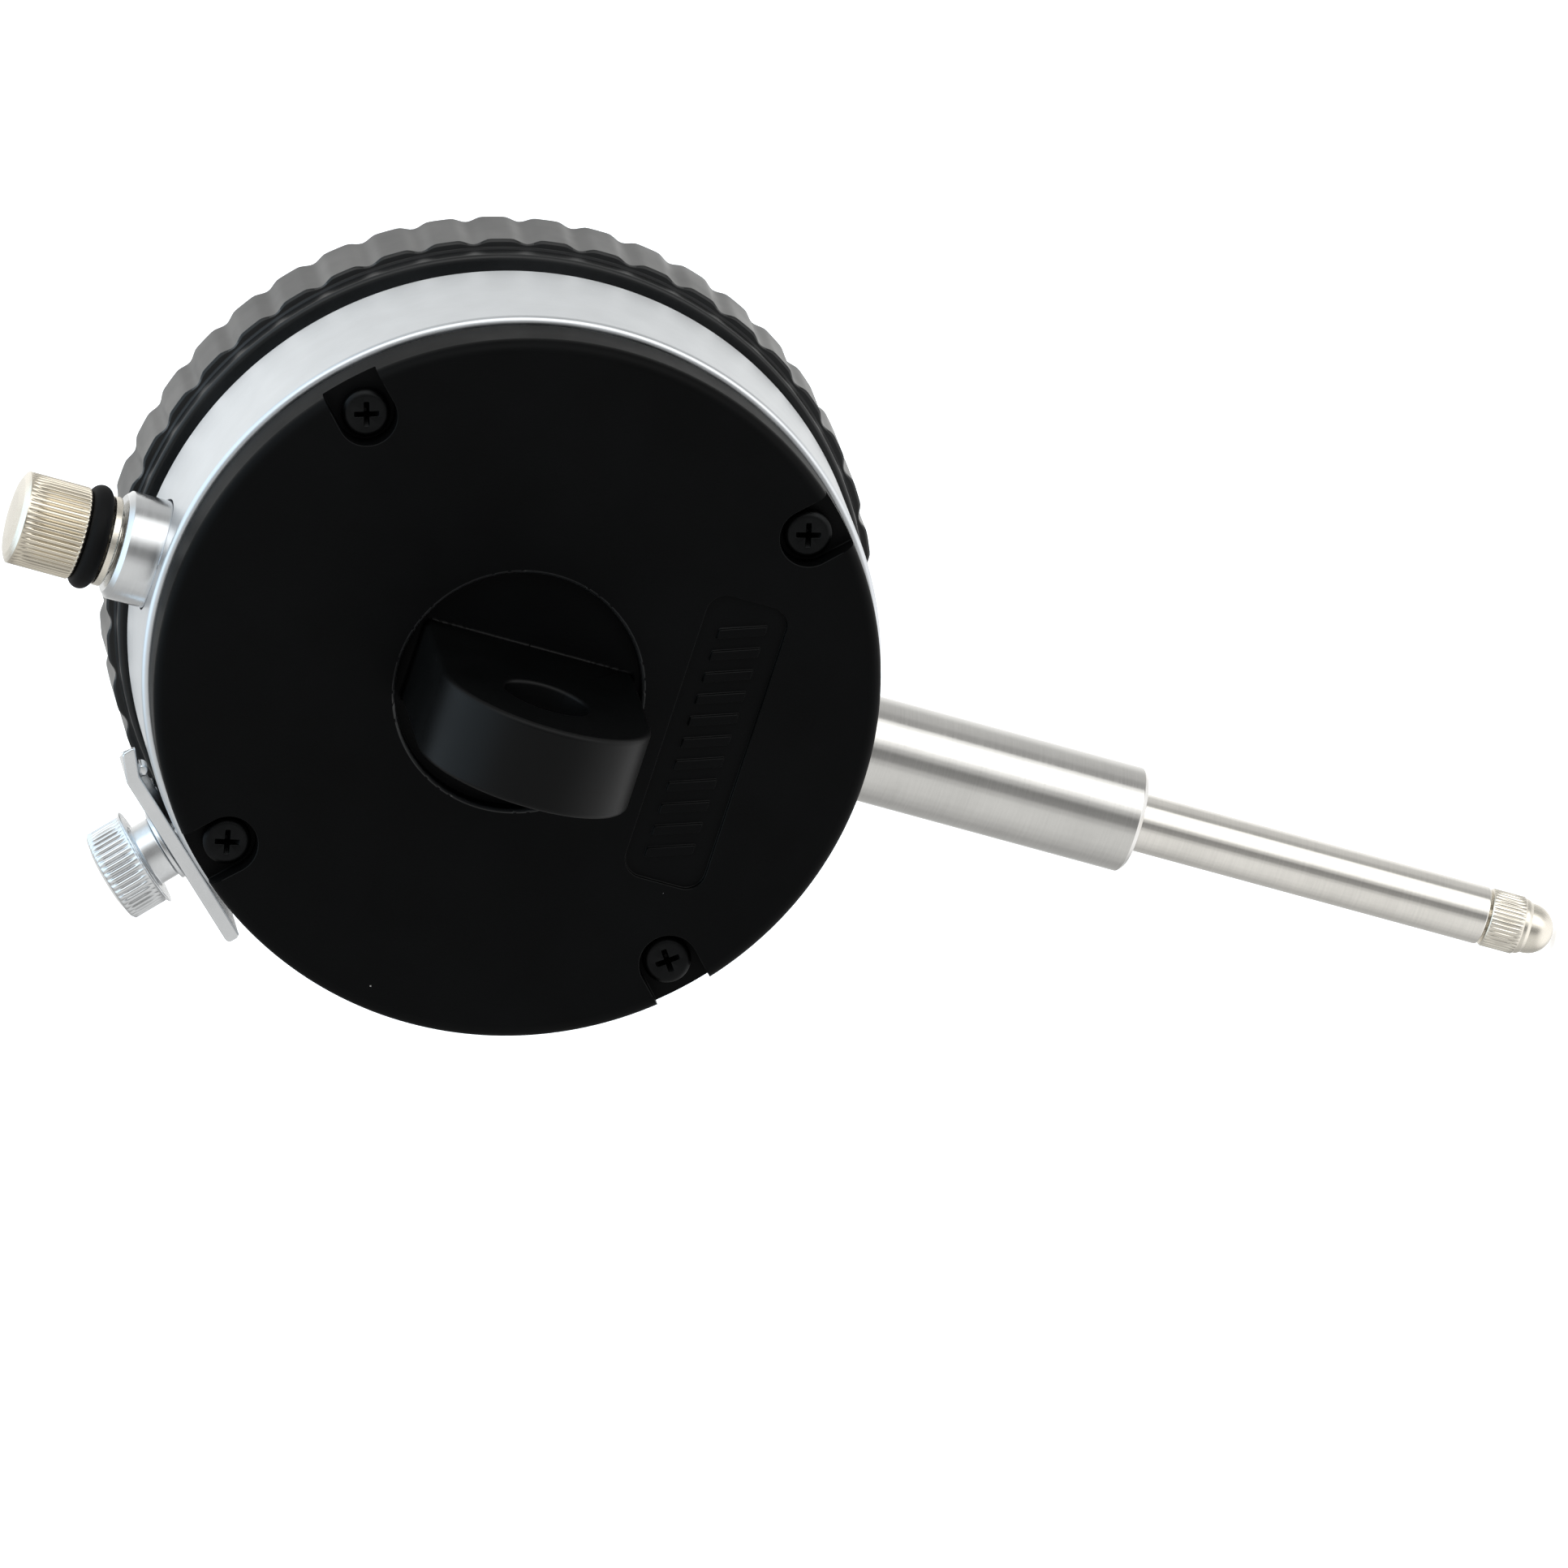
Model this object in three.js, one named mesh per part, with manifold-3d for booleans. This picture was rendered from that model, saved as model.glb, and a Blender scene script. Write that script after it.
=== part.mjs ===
// Dial indicator with 25 mm travel, a 55 mm case, an 8 mm stem and a lug back. Millimetres.
// The spindle lies on Z with the contact point down. The dial's axis is Y, and the dial faces -Y.
// The origin is where the two axes cross. +X is to the right, seen from the dial's side.

import * as THREE from 'three';
import { mergeVertices } from 'three/addons/utils/BufferGeometryUtils.js';
import Module from 'manifold-3d';

const wasm = await Module();
wasm.setup();

// ---- driving dimensions ----

const FINE = 40;
const MEDIUM = 20;
const COARSE = 8;
const LOOSE = 0.3;
const RUNNING = 0.05;
const THROUGH = 1;

const CASE_R = 27.5;
const CASE_BORE_R = 25.7;
const CASE_REAR_Y = 5.8;
const CASE_SHOULDER_Y = -6.2;
const SPIGOT_R = 26.3;
const SPIGOT_BORE_R = 25.3;
const SPIGOT_FRONT_Y = -11.4;
const WEB_REAR_Y = -8.6;
const WEB_FRONT_Y = -9.6;
const WEB_HOLE_R = 15;
const GROOVE_R = 25.75;
const GROOVE_Y = -9.2;
const GROOVE_HALF = 0.5;

const COVER_R = 27.0;
const COVER_FACE_Y = 10.4;
const COVER_SEAT_Y = 6.1;
const COVER_CAVITY_Y = 8.2;
const COVER_CAVITY_R = 21;
const COVER_FILLET = 0.9;
const LUG_RECESS_R = 9.15;
const LUG_RECESS_Y = 9.0;
const LUG_HALF = 3.175;
const LUG_R = 8.1;
const LUG_ROOT_DEPTH = 0.5;
const LUG_CENTRE_Y = 21.2;
const LUG_HOLE_R = 3.25;
const BADGE_LENGTH = 22.6;
const BADGE_WIDTH = 6.2;
const BADGE_Z = -14.6;
const BADGE_DEPTH = 0.35;
const BADGE_CORNER = 1.5;
const BADGE_BARS = 11;
const BADGE_MARGIN = 2.5;
const BAR_HALF_HEIGHT = 1.7;
const BAR_WIDTH = 0.75;
const BAR_SLANT = 1.2;

const SCREW_CIRCLE_R = 24.27;
const POCKET_R = 2.2;
const POCKET_FLOOR_Y = 8.6;
const SCREW_HEAD_R = 1.8;
const SCREW_HEAD_HEIGHT = 1.0;
const SCREW_SHANK_R = 1.0;
const SCREW_SHANK_LENGTH = 4.6;
const BOSS_R = 2.2;
const BOSS_FRONT_Y = 1.5;
const BOSS_HOLE_FRONT_Y = 2.6;

const STEM_R = 4;
const STEM_END_Z = -49.4;
const STEM_TOP_Z = -25.2;
const GUIDE_BORE_R = 3.0;
const TOP_BOSS_R = 4.1;
const TOP_BOSS_BASE_Z = 25.0;
const TOP_BOSS_END_Z = 30.4;
const TOP_BOSS_CHAMFER = 0.4;
const BUSH_LENGTH = 4.6;
const GUIDE_LIP = 0.35;

const SPINDLE_R = 2.2;
const SPINDLE_END_Z = -77.1;
const SPINDLE_TOP_Z = 30.55;
const STUD_R = 1.0;
const STUD_TOP_Z = 36.5;
const TRAVEL = 25;

const FLANGE_R = 3.4;
const FLANGE_Z = 30.7;
const FLANGE_THICK = 0.6;
const CAP_NECK_Z = 31.4;
const CAP_BODY_Z = 33.05;
const CAP_TOP_Z = 38.5;
const CAP_R = 3.5;
const CAP_NECK_R = 2.25;
const CAP_DOME = 0.5;
const CAP_TEETH = 26;
const RING_TUBE_R = 0.8;
const RING_CENTRE_R = 3.15;

const CONTACT_TOP_Z = -77.3;
const CONTACT_BODY_Z = -79.9;
const CONTACT_NOSE_Z = -80.5;
const CONTACT_NOSE_R = 2.1;
const CONTACT_R = 2.2;
const CONTACT_TEETH = 20;
const BALL_R = 1.9;
const TIP_Z = -82.6;

const MODULE = 0.2;
const ADDENDUM = 0.13;
const DEDENDUM = 0.22;
const WHEEL_TEETH = 100;
const CENTRE_TEETH = 10;
const RACK_PINION_TEETH = 16;
const RACK_PITCH = 0.625;
const COUNTER_PINION_TEETH = 12;
const COUNTER_TEETH = 30;
const RACK_LINE_X = -1.95;
const TOOTH_TIP = 0.11;
const TOOTH_ROOT = 0.24;

const PLATE_R = 21.5;
const PLATE_FRONT_Y = -8.4;
const PLATE_REAR_Y = -7.4;
const BRIDGE_FRONT_Y = 4.2;
const BRIDGE_REAR_Y = 5.2;
const PILLAR_R = 1.5;
const PILLARS = [[-17, -10], [11, 17.5], [14, -12]];
const PLATE_SCREW_R = 18.3;
const PLATE_SCREW_ANGLES = [150, 290];
const DIAL_POST_X = 9;
const DIAL_POST_R = 1.5;
const COCK_FOOT = [-8.5, 5];
const COCK_FRONT_Y = -3.5;
const COCK_REAR_Y = -2.6;

const PIVOT_R = 0.4;
const BUSH_R = 0.95;
const ARBOR_R = 0.7;
const PIVOT_FRONT_Y = -8.3;
const PIVOT_REAR_Y = 5.1;
const SHOULDER_GAP = 0.1;
const WHEEL_THICK = 0.6;
const WHEEL_FRONT_Y = -5.2;
const CENTRE_PINION_FRONT_Y = -5.6;
const CENTRE_PINION_REAR_Y = -4.2;
const CENTRE_SHOULDER_Y = -3.7;
const RACK_PINION_HALF = 1.1;
const COUNTER_PINION_FRONT_Y = -6.9;
const COUNTER_PINION_REAR_Y = -5.9;
const COUNTER_WHEEL_FRONT_Y = -6.7;
const COUNTER_WHEEL_REAR_Y = -6.1;

const TAPPED_R = 0.65;
const CLEAR_R = 0.7;
const SMALL_HEAD_R = 1.35;
const SMALL_HEAD_HEIGHT = 0.7;
const SMALL_SHANK_R = 0.6;
const BRIDGE_SCREW_LENGTH = 4.2;
const PLATE_SCREW_LENGTH = 2.0;

const HAIRSPRING_FRONT_Y = -3.7;
const HAIRSPRING_REAR_Y = -3.1;
const HAIRSPRING_INNER_R = 1.4;
const HAIRSPRING_OUTER_R = 3.9;
const HAIRSPRING_THICK = 0.14;
const HAIRSPRING_TURNS = 3;

const GUIDE_PIN_R = 0.6;
const GUIDE_PIN_NECK_R = 0.4;
const GUIDE_PIN_INNER_X = 0.9;
const RAIL_NEAR_X = 3.2;
const RAIL_FAR_X = 4.2;
const RAIL_LOW_Z = -5;
const RAIL_HIGH_Z = 24.5;
const RAIL_SLOT_HALF = 0.7;

const POST_R = 0.9;
const POST_NECK_R = 0.5;
const POST_SHANK_R = 0.7;

const POINTER_FRONT_Y = -14.0;
const POINTER_REAR_Y = -13.75;
const HUB_R = 1.3;
const SMALL_HAND_FRONT_Y = -12.95;
const SMALL_HAND_REAR_Y = -12.75;

const DIAL_R = 26.4;
const DIAL_SPLIT_R = 13;
const DIAL_FRONT_Y = -12.6;
const DIAL_THICK = 0.4;
const LENS_R = 25.5;
const LENS_FRONT_Y = -15.8;
const LENS_THICK = 0.9;

const BEZEL_REAR_Y = -8.3;
const BEZEL_LIP_R = 28.0;
const FLUTE_REAR_Y = -10;
const BEZEL_FRONT_Y = -16.6;
const CREST_R = 28.7;
const VALLEY_R = 28.22;
const FLUTES = 45;
const BEZEL_BORE_R = 26.6;
const LENS_SEAT_R = 25.75;
const BEZEL_WINDOW_R = 24.6;

const CLAMP_ANGLE = THREE.MathUtils.degToRad(42.1);
const CLAMP_Y = -1;
const CLAMP_INNER_R = 27.8;
const CLAMP_THICK = 1.1;
const CLAMP_REAR_Y = 2;
const CLAMP_FRONT_Y = -4.5;
const CLAMP_LOW_Z = -8.2;
const CLAMP_BEND_Z = 6.6;
const CLAMP_TAB_LENGTH = 2.3;
const CLAMP_TAB_ANGLE = THREE.MathUtils.degToRad(22);
const CLAMP_FOOT_Y = -8;
const CLAMP_FOOT_HALF = 3;
const CLAMP_HEEL_R = 0.45;
const CLAMP_HEEL_FRONT_Y = -0.5;
const CLAMP_HEEL_REAR_Y = 1.0;
const CLAMP_HEEL_Z = 6.5;
const CLAMP_SHANK_R = 1.2;
const CLAMP_SHANK_FROM = 25.9;
const CLAMP_HOLE_R = 1.45;
const WASHER_R = 2.8;
const WASHER_THICK = 0.35;
const KNOB_R = 3.6;
const KNOB_LIP_R = 3.85;
const KNOB_LIP_THICK = 0.2;
const KNOB_NECK_R = 2.4;
const KNOB_FROM = 30.9;
const KNOB_TO = 34.3;
const KNOB_DOME = 0.5;
const KNOB_TEETH = 44;

const SPRING_X = 5.9;
const SPRING_R = 1.3;
const SPRING_WIRE_R = 0.18;
const SPRING_TURNS = 12;
const SPRING_LOW_Z = -22.6;
const SPRING_HIGH_Z = -3.0;
const SPRING_POST_Z = -23.6;
const GUIDE_PIN_Z = -2;

// ---- places worked out from the gears ----

const wheelPitchR = WHEEL_TEETH * MODULE / 2;
const centrePitchR = CENTRE_TEETH * MODULE / 2;
const wheelDistance = wheelPitchR + centrePitchR;
const rackPinionR = RACK_PITCH * RACK_PINION_TEETH / (2 * Math.PI);
const counterDistance = (COUNTER_PINION_TEETH + COUNTER_TEETH) * MODULE / 2;

const centreAt = [0, 0];
const rackX = RACK_LINE_X - rackPinionR;
const rackAt = [rackX, -Math.sqrt(wheelDistance ** 2 - rackX ** 2)];
const counterAt = [0, rackAt[1] + Math.sqrt(counterDistance ** 2 - rackX ** 2)];
const takeUpAngle = Math.PI / 6;
const takeUpAt = [wheelDistance * Math.cos(takeUpAngle), wheelDistance * Math.sin(takeUpAngle)];

// ---- solids ----

// A closed geometry as a solid that can be joined and cut, with its faces turned outward.
function solid(geometry) {
  const plain = geometry.index ? geometry.toNonIndexed() : geometry.clone();
  plain.deleteAttribute('normal');
  plain.deleteAttribute('uv');
  const merged = mergeVertices(plain, 1e-5);
  const position = merged.attributes.position;
  const triangles = [];
  let volume = 0;
  const a = new THREE.Vector3();
  const b = new THREE.Vector3();
  const c = new THREE.Vector3();
  for (let i = 0; i < merged.index.count; i += 3) {
    const corners = [0, 1, 2].map((k) => merged.index.getX(i + k));
    if (new Set(corners).size < 3) continue;
    triangles.push(corners);
    a.fromBufferAttribute(position, corners[0]);
    b.fromBufferAttribute(position, corners[1]);
    c.fromBufferAttribute(position, corners[2]);
    volume += a.dot(b.cross(c));
  }
  if (volume < 0) triangles.forEach((corners) => corners.reverse());
  return new wasm.Manifold(new wasm.Mesh({
    numProp: 3,
    vertProperties: new Float32Array(position.array),
    triVerts: new Uint32Array(triangles.flat()),
  }));
}

function cut(body, ...tools) {
  return tools.reduce((rest, tool) => rest.subtract(tool), body);
}

function join(...bodies) {
  return bodies.reduce((whole, body) => whole.add(body));
}

// A named mesh from a solid.
function piece(name, body, material) {
  const mesh = body.getMesh();
  const geometry = new THREE.BufferGeometry();
  geometry.setAttribute('position', new THREE.BufferAttribute(mesh.vertProperties, 3));
  geometry.setIndex(new THREE.BufferAttribute(mesh.triVerts, 1));
  geometry.computeVertexNormals();
  const made = new THREE.Mesh(geometry, material);
  made.name = name;
  return made;
}

// Profiles are lists of [radius, height]. The axis is Y, Z or X, moved to (u, v) in the other two.
function turned(profile, segments) {
  const points = profile.map(([r, h]) => new THREE.Vector2(r, h));
  const closed = profile[0][0] === 0 ? points : [...points, points[0].clone()];
  return new THREE.LatheGeometry(closed, segments);
}

function turnedY(profile, segments, x = 0, z = 0) {
  return solid(turned(profile, segments).translate(x, 0, z));
}

function turnedZ(profile, segments, x = 0, y = 0) {
  return solid(turned(profile, segments).rotateX(Math.PI / 2).translate(x, y, 0));
}

function turnedX(profile, segments, y = 0, z = 0) {
  return solid(turned(profile, segments).rotateZ(-Math.PI / 2).translate(0, y, z));
}

function rodY(radius, low, high, segments, x = 0, z = 0) {
  return turnedY([[0, low], [radius, low], [radius, high], [0, high]], segments, x, z);
}

function rodZ(radius, low, high, segments, x = 0, y = 0) {
  return turnedZ([[0, low], [radius, low], [radius, high], [0, high]], segments, x, y);
}

function rodX(radius, low, high, segments, y = 0, z = 0) {
  return turnedX([[0, low], [radius, low], [radius, high], [0, high]], segments, y, z);
}

function ringY(inner, outer, low, high, segments, x = 0, z = 0) {
  return turnedY([[inner, low], [outer, low], [outer, high], [inner, high]], segments, x, z);
}

function ringZ(inner, outer, low, high, segments) {
  return turnedZ([[inner, low], [outer, low], [outer, high], [inner, high]], segments);
}

function block(x0, x1, y0, y1, z0, z1) {
  const geometry = new THREE.BoxGeometry(x1 - x0, y1 - y0, z1 - z0);
  return solid(geometry.translate((x0 + x1) / 2, (y0 + y1) / 2, (z0 + z1) / 2));
}

function shapeOf(points) {
  return new THREE.Shape(points.map(([u, v]) => new THREE.Vector2(u, v)));
}

function extruded(shape, depth) {
  return new THREE.ExtrudeGeometry(shape, { depth, bevelEnabled: false, curveSegments: 8 });
}

// A flat plate whose outline is drawn in X and Z, from y = low to y = high.
function plateY(shape, low, high) {
  return solid(extruded(shape, high - low).rotateX(Math.PI / 2).translate(0, high, 0));
}

// The outline round a set of circles of one radius, taken in order around the plate.
function roundedHull(centres, radius) {
  const shape = new THREE.Shape();
  centres.forEach(([x, z], i) => {
    const [px, pz] = centres[(i + centres.length - 1) % centres.length];
    const [nx, nz] = centres[(i + 1) % centres.length];
    const from = Math.atan2(z - pz, x - px) - Math.PI / 2;
    const to = Math.atan2(nz - z, nx - x) - Math.PI / 2;
    shape.absarc(x, z, radius, from, to, false);
  });
  return shape;
}

// A ring of teeth. Each tooth has the corners given as [radius, share of a pitch from its centre].
function toothed(count, corners, phase = 0) {
  const points = [];
  for (let k = 0; k < count; k += 1) {
    for (const [radius, share] of corners) {
      const angle = phase + (k + share) * 2 * Math.PI / count;
      points.push([radius * Math.cos(angle), radius * Math.sin(angle)]);
    }
  }
  return shapeOf(points);
}

function shifted(shape, [x, z]) {
  return shapeOf(shape.getPoints().map((p) => [p.x + x, p.y + z]));
}

// A pinion's teeth have flat tips and roots. A wheel's fine teeth are plain points.
function pinion(pitchR, teeth, phase, low, high, at) {
  const corners = [
    [pitchR - DEDENDUM, -TOOTH_ROOT], [pitchR + ADDENDUM, -TOOTH_TIP],
    [pitchR + ADDENDUM, TOOTH_TIP], [pitchR - DEDENDUM, TOOTH_ROOT],
  ];
  return plateY(shifted(toothed(teeth, corners, phase), at), low, high);
}

function wheel(pitchR, teeth, phase, low, high, at) {
  const corners = [[pitchR + ADDENDUM, 0], [pitchR - DEDENDUM, 0.5]];
  return plateY(shifted(toothed(teeth, corners, phase), at), low, high);
}

// The angle of a tooth on the second gear that puts its teeth in the gaps of the first.
function meshed(from, to, fromTeeth, toTeeth, fromPhase) {
  const direction = Math.atan2(to[1] - from[1], to[0] - from[0]);
  const share = (direction - fromPhase) * fromTeeth / (2 * Math.PI);
  return direction + Math.PI - (0.5 - share) * 2 * Math.PI / toTeeth;
}

const rackPhase = Math.PI / WHEEL_TEETH;
const centrePhase = meshed(rackAt, centreAt, WHEEL_TEETH, CENTRE_TEETH, rackPhase);
const takeUpPhase = meshed(centreAt, takeUpAt, CENTRE_TEETH, WHEEL_TEETH, centrePhase);
const counterPinionPhase = 0;
const counterPhase = meshed(rackAt, counterAt, COUNTER_PINION_TEETH, COUNTER_TEETH, counterPinionPhase);

// ---- materials ----

function finish(color, roughness, metalness) {
  return new THREE.MeshStandardMaterial({ color, roughness, metalness });
}

const satinSilver = finish(0xb9bdc0, 0.42, 0.9);
const polishedSteel = finish(0xc9c7c4, 0.12, 1);
const nickel = finish(0xcfc6b0, 0.25, 1);
const blackPlastic = finish(0x0d0e0e, 0.5, 0);
const blackBezel = finish(0x17181a, 0.35, 0.1);
const blackScrew = finish(0x1a1b1c, 0.4, 0.7);
const rubber = finish(0x0b0b0b, 0.8, 0);
const brass = finish(0xb5924c, 0.35, 1);
const bronze = finish(0x9a7040, 0.45, 1);
const darkSteel = finish(0x6d7074, 0.35, 1);
const blueSteel = finish(0x27406b, 0.3, 1);
const ruby = finish(0xa01030, 0.1, 0);
const dialWhite = finish(0xf3f3ef, 0.6, 0);
const pointerBlack = finish(0x141414, 0.5, 0);
const glass = finish(0xe8f0f2, 0.05, 0);

// ---- case, cover and their screws ----

const screwPlaces = [45, 135, 225, 315].map((degrees) => {
  const angle = THREE.MathUtils.degToRad(degrees);
  return [SCREW_CIRCLE_R * Math.cos(angle), SCREW_CIRCLE_R * Math.sin(angle), angle];
});

const plateScrewPlaces = PLATE_SCREW_ANGLES.map((degrees) => {
  const angle = THREE.MathUtils.degToRad(degrees);
  return [PLATE_SCREW_R * Math.cos(angle), PLATE_SCREW_R * Math.sin(angle)];
});

function makeCase() {
  const chamfer = 0.2;
  let body = turnedY([
    [CASE_R, CASE_SHOULDER_Y], [CASE_R, CASE_REAR_Y - chamfer], [CASE_R - chamfer, CASE_REAR_Y],
    [CASE_BORE_R, CASE_REAR_Y], [CASE_BORE_R, WEB_REAR_Y], [WEB_HOLE_R, WEB_REAR_Y],
    [WEB_HOLE_R, WEB_FRONT_Y], [SPIGOT_BORE_R, WEB_FRONT_Y], [SPIGOT_BORE_R, SPIGOT_FRONT_Y],
    [SPIGOT_R, SPIGOT_FRONT_Y], [SPIGOT_R, GROOVE_Y - GROOVE_HALF], [GROOVE_R, GROOVE_Y - GROOVE_HALF],
    [GROOVE_R, GROOVE_Y + GROOVE_HALF], [SPIGOT_R, GROOVE_Y + GROOVE_HALF], [SPIGOT_R, CASE_SHOULDER_Y],
  ], FINE);
  for (const [x, z] of screwPlaces) {
    body = body.add(rodY(BOSS_R, BOSS_FRONT_Y, CASE_REAR_Y, COARSE, x, z));
  }
  for (const [x, z] of screwPlaces) {
    const screwHole = rodY(
      SCREW_SHANK_R + RUNNING, BOSS_HOLE_FRONT_Y, CASE_REAR_Y + THROUGH, COARSE, x, z,
    );
    body = body.subtract(screwHole);
  }
  for (const [x, z] of plateScrewPlaces) {
    body = body.subtract(rodY(TAPPED_R, WEB_FRONT_Y - THROUGH, WEB_REAR_Y + THROUGH, COARSE, x, z));
  }
  const wallInside = CASE_BORE_R - THROUGH;
  const wallOutside = CASE_R + THROUGH;
  const clampHole = solid(turned([
    [0, wallInside], [CLAMP_HOLE_R, wallInside], [CLAMP_HOLE_R, wallOutside], [0, wallOutside],
  ], COARSE).rotateZ(-Math.PI / 2).translate(0, CLAMP_Y, 0).rotateY(-CLAMP_ANGLE));
  const stemHole = rodZ(STEM_R + RUNNING, -wallOutside, -wallInside + THROUGH, MEDIUM);
  const bossHole = rodZ(TOP_BOSS_R + RUNNING, wallInside - THROUGH, wallOutside, MEDIUM);
  const springPostHole = rodY(
    POST_SHANK_R + RUNNING, WEB_FRONT_Y - THROUGH, WEB_REAR_Y + THROUGH, COARSE, SPRING_X, SPRING_POST_Z,
  );
  return piece('case', cut(body, clampHole, stemHole, bossHole, springPostHole), satinSilver);
}

function makeCoverBody() {
  const fillet = [0, 30, 60, 90].map((degrees) => {
    const angle = THREE.MathUtils.degToRad(degrees);
    return [
      COVER_R - COVER_FILLET * (1 - Math.cos(angle)),
      COVER_FACE_Y - COVER_FILLET * (1 - Math.sin(angle)),
    ];
  });
  const disc = turnedY([
    [0, COVER_CAVITY_Y], [COVER_CAVITY_R, COVER_CAVITY_Y], [COVER_CAVITY_R, COVER_SEAT_Y],
    [COVER_R, COVER_SEAT_Y], ...fillet, [0, COVER_FACE_Y],
  ], FINE);
  return disc.subtract(rodY(LUG_RECESS_R, LUG_RECESS_Y, COVER_FACE_Y + THROUGH, FINE));
}

// The lug is a flat plate with its round end outward, drawn in Y and Z and extruded along X.
function makeLug() {
  const root = LUG_RECESS_Y - LUG_ROOT_DEPTH;
  const shape = new THREE.Shape();
  shape.moveTo(root, -LUG_R);
  shape.lineTo(LUG_CENTRE_Y, -LUG_R);
  shape.absarc(LUG_CENTRE_Y, 0, LUG_R, -Math.PI / 2, Math.PI / 2, false);
  shape.lineTo(root, LUG_R);
  shape.closePath();
  const plate = new THREE.ExtrudeGeometry(shape, {
    depth: 2 * LUG_HALF, bevelEnabled: false, curveSegments: 24,
  });
  const placed = solid(plate.translate(0, 0, -LUG_HALF).rotateX(Math.PI / 2).rotateZ(Math.PI / 2));
  return placed.subtract(rodX(LUG_HOLE_R, -2 * LUG_HALF, 2 * LUG_HALF, MEDIUM, LUG_CENTRE_Y, 0));
}

// The outline of a rectangle with rounded corners, in X and Z.
function roundedRectangle(halfX, halfZ, corner) {
  const shape = new THREE.Shape();
  const quarter = Math.PI / 2;
  shape.absarc(halfX - corner, halfZ - corner, corner, 0, quarter);
  shape.absarc(corner - halfX, halfZ - corner, corner, quarter, 2 * quarter);
  shape.absarc(corner - halfX, corner - halfZ, corner, 2 * quarter, 3 * quarter);
  shape.absarc(halfX - corner, corner - halfZ, corner, 3 * quarter, 4 * quarter);
  return shape;
}

// A plain pattern of slanted bars fills the badge panel.
function cutBadge(body) {
  const panel = shifted(roundedRectangle(BADGE_LENGTH / 2, BADGE_WIDTH / 2, BADGE_CORNER), [0, BADGE_Z]);
  let result = body.subtract(plateY(panel, COVER_FACE_Y - BADGE_DEPTH, COVER_FACE_Y + THROUGH));
  const spacing = (BADGE_LENGTH - 2 * BADGE_MARGIN) / (BADGE_BARS - 1);
  const low = BADGE_Z - BAR_HALF_HEIGHT;
  const high = BADGE_Z + BAR_HALF_HEIGHT;
  for (let k = 0; k < BADGE_BARS; k += 1) {
    const left = (k - (BADGE_BARS - 1) / 2) * spacing - (BAR_WIDTH + BAR_SLANT) / 2;
    const bar = shapeOf([
      [left, low], [left + BAR_WIDTH, low],
      [left + BAR_WIDTH + BAR_SLANT, high], [left + BAR_SLANT, high],
    ]);
    result = result.add(plateY(bar, COVER_FACE_Y - 2 * BADGE_DEPTH, COVER_FACE_Y - 0.1));
  }
  return result;
}

// Each pocket is a round well with a slot from it out through the rim.
function makeCover() {
  let body = cutBadge(makeCoverBody().add(makeLug()));
  const depth = COVER_FACE_Y + THROUGH - POCKET_FLOOR_Y;
  const slotLength = 8;
  for (const [x, z, angle] of screwPlaces) {
    const well = rodY(POCKET_R, POCKET_FLOOR_Y, COVER_FACE_Y + THROUGH, MEDIUM, x, z);
    const slot = solid(new THREE.BoxGeometry(slotLength, depth, 2 * POCKET_R)
      .translate(SCREW_CIRCLE_R + slotLength / 2, POCKET_FLOOR_Y + depth / 2, 0).rotateY(-angle));
    const hole = rodY(SCREW_SHANK_R + 0.1, COVER_SEAT_Y - THROUGH, POCKET_FLOOR_Y + THROUGH, COARSE, x, z);
    body = cut(body, well, slot, hole);
  }
  return piece('rear_cover', body, blackPlastic);
}

// A round-topped screw along Y with a cross recess.
// side is 1 where the head faces +Y and -1 where it faces -Y.
function crossScrew(name, [x, z], under, headR, headHeight, shankR, shankLength, side, material) {
  const at = (h) => under + side * h;
  const body = turnedY([
    [0, at(-shankLength)], [shankR, at(-shankLength)], [shankR, at(0)], [headR, at(0)],
    [headR, at(headHeight * 0.45)], [headR * 0.72, at(headHeight)], [0, at(headHeight)],
  ], COARSE, x, z);
  const half = headR * 0.13;
  const reach = headR * 0.55;
  const low = Math.min(at(headHeight * 0.4), at(headHeight + 1));
  const high = Math.max(at(headHeight * 0.4), at(headHeight + 1));
  const slotA = block(x - reach, x + reach, low, high, z - half, z + half);
  const slotB = block(x - half, x + half, low, high, z - reach, z + reach);
  return piece(name, cut(body, slotA, slotB), material);
}

function makeCoverScrews() {
  return screwPlaces.map(([x, z], k) => crossScrew(
    `cover_screw_${k + 1}`, [x, z], POCKET_FLOOR_Y + RUNNING,
    SCREW_HEAD_R, SCREW_HEAD_HEIGHT, SCREW_SHANK_R, SCREW_SHANK_LENGTH, 1, blackScrew,
  ));
}

// ---- stem, top boss and bushes ----

function makeStem() {
  const chamfer = 0.3;
  const body = turnedZ([
    [GUIDE_BORE_R, STEM_TOP_Z], [STEM_R, STEM_TOP_Z], [STEM_R, STEM_END_Z + chamfer],
    [STEM_R - chamfer, STEM_END_Z], [SPINDLE_R + 0.2, STEM_END_Z],
    [SPINDLE_R + 0.2, STEM_END_Z + GUIDE_LIP], [GUIDE_BORE_R, STEM_END_Z + GUIDE_LIP],
  ], MEDIUM);
  return piece('stem', body, polishedSteel);
}

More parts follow.
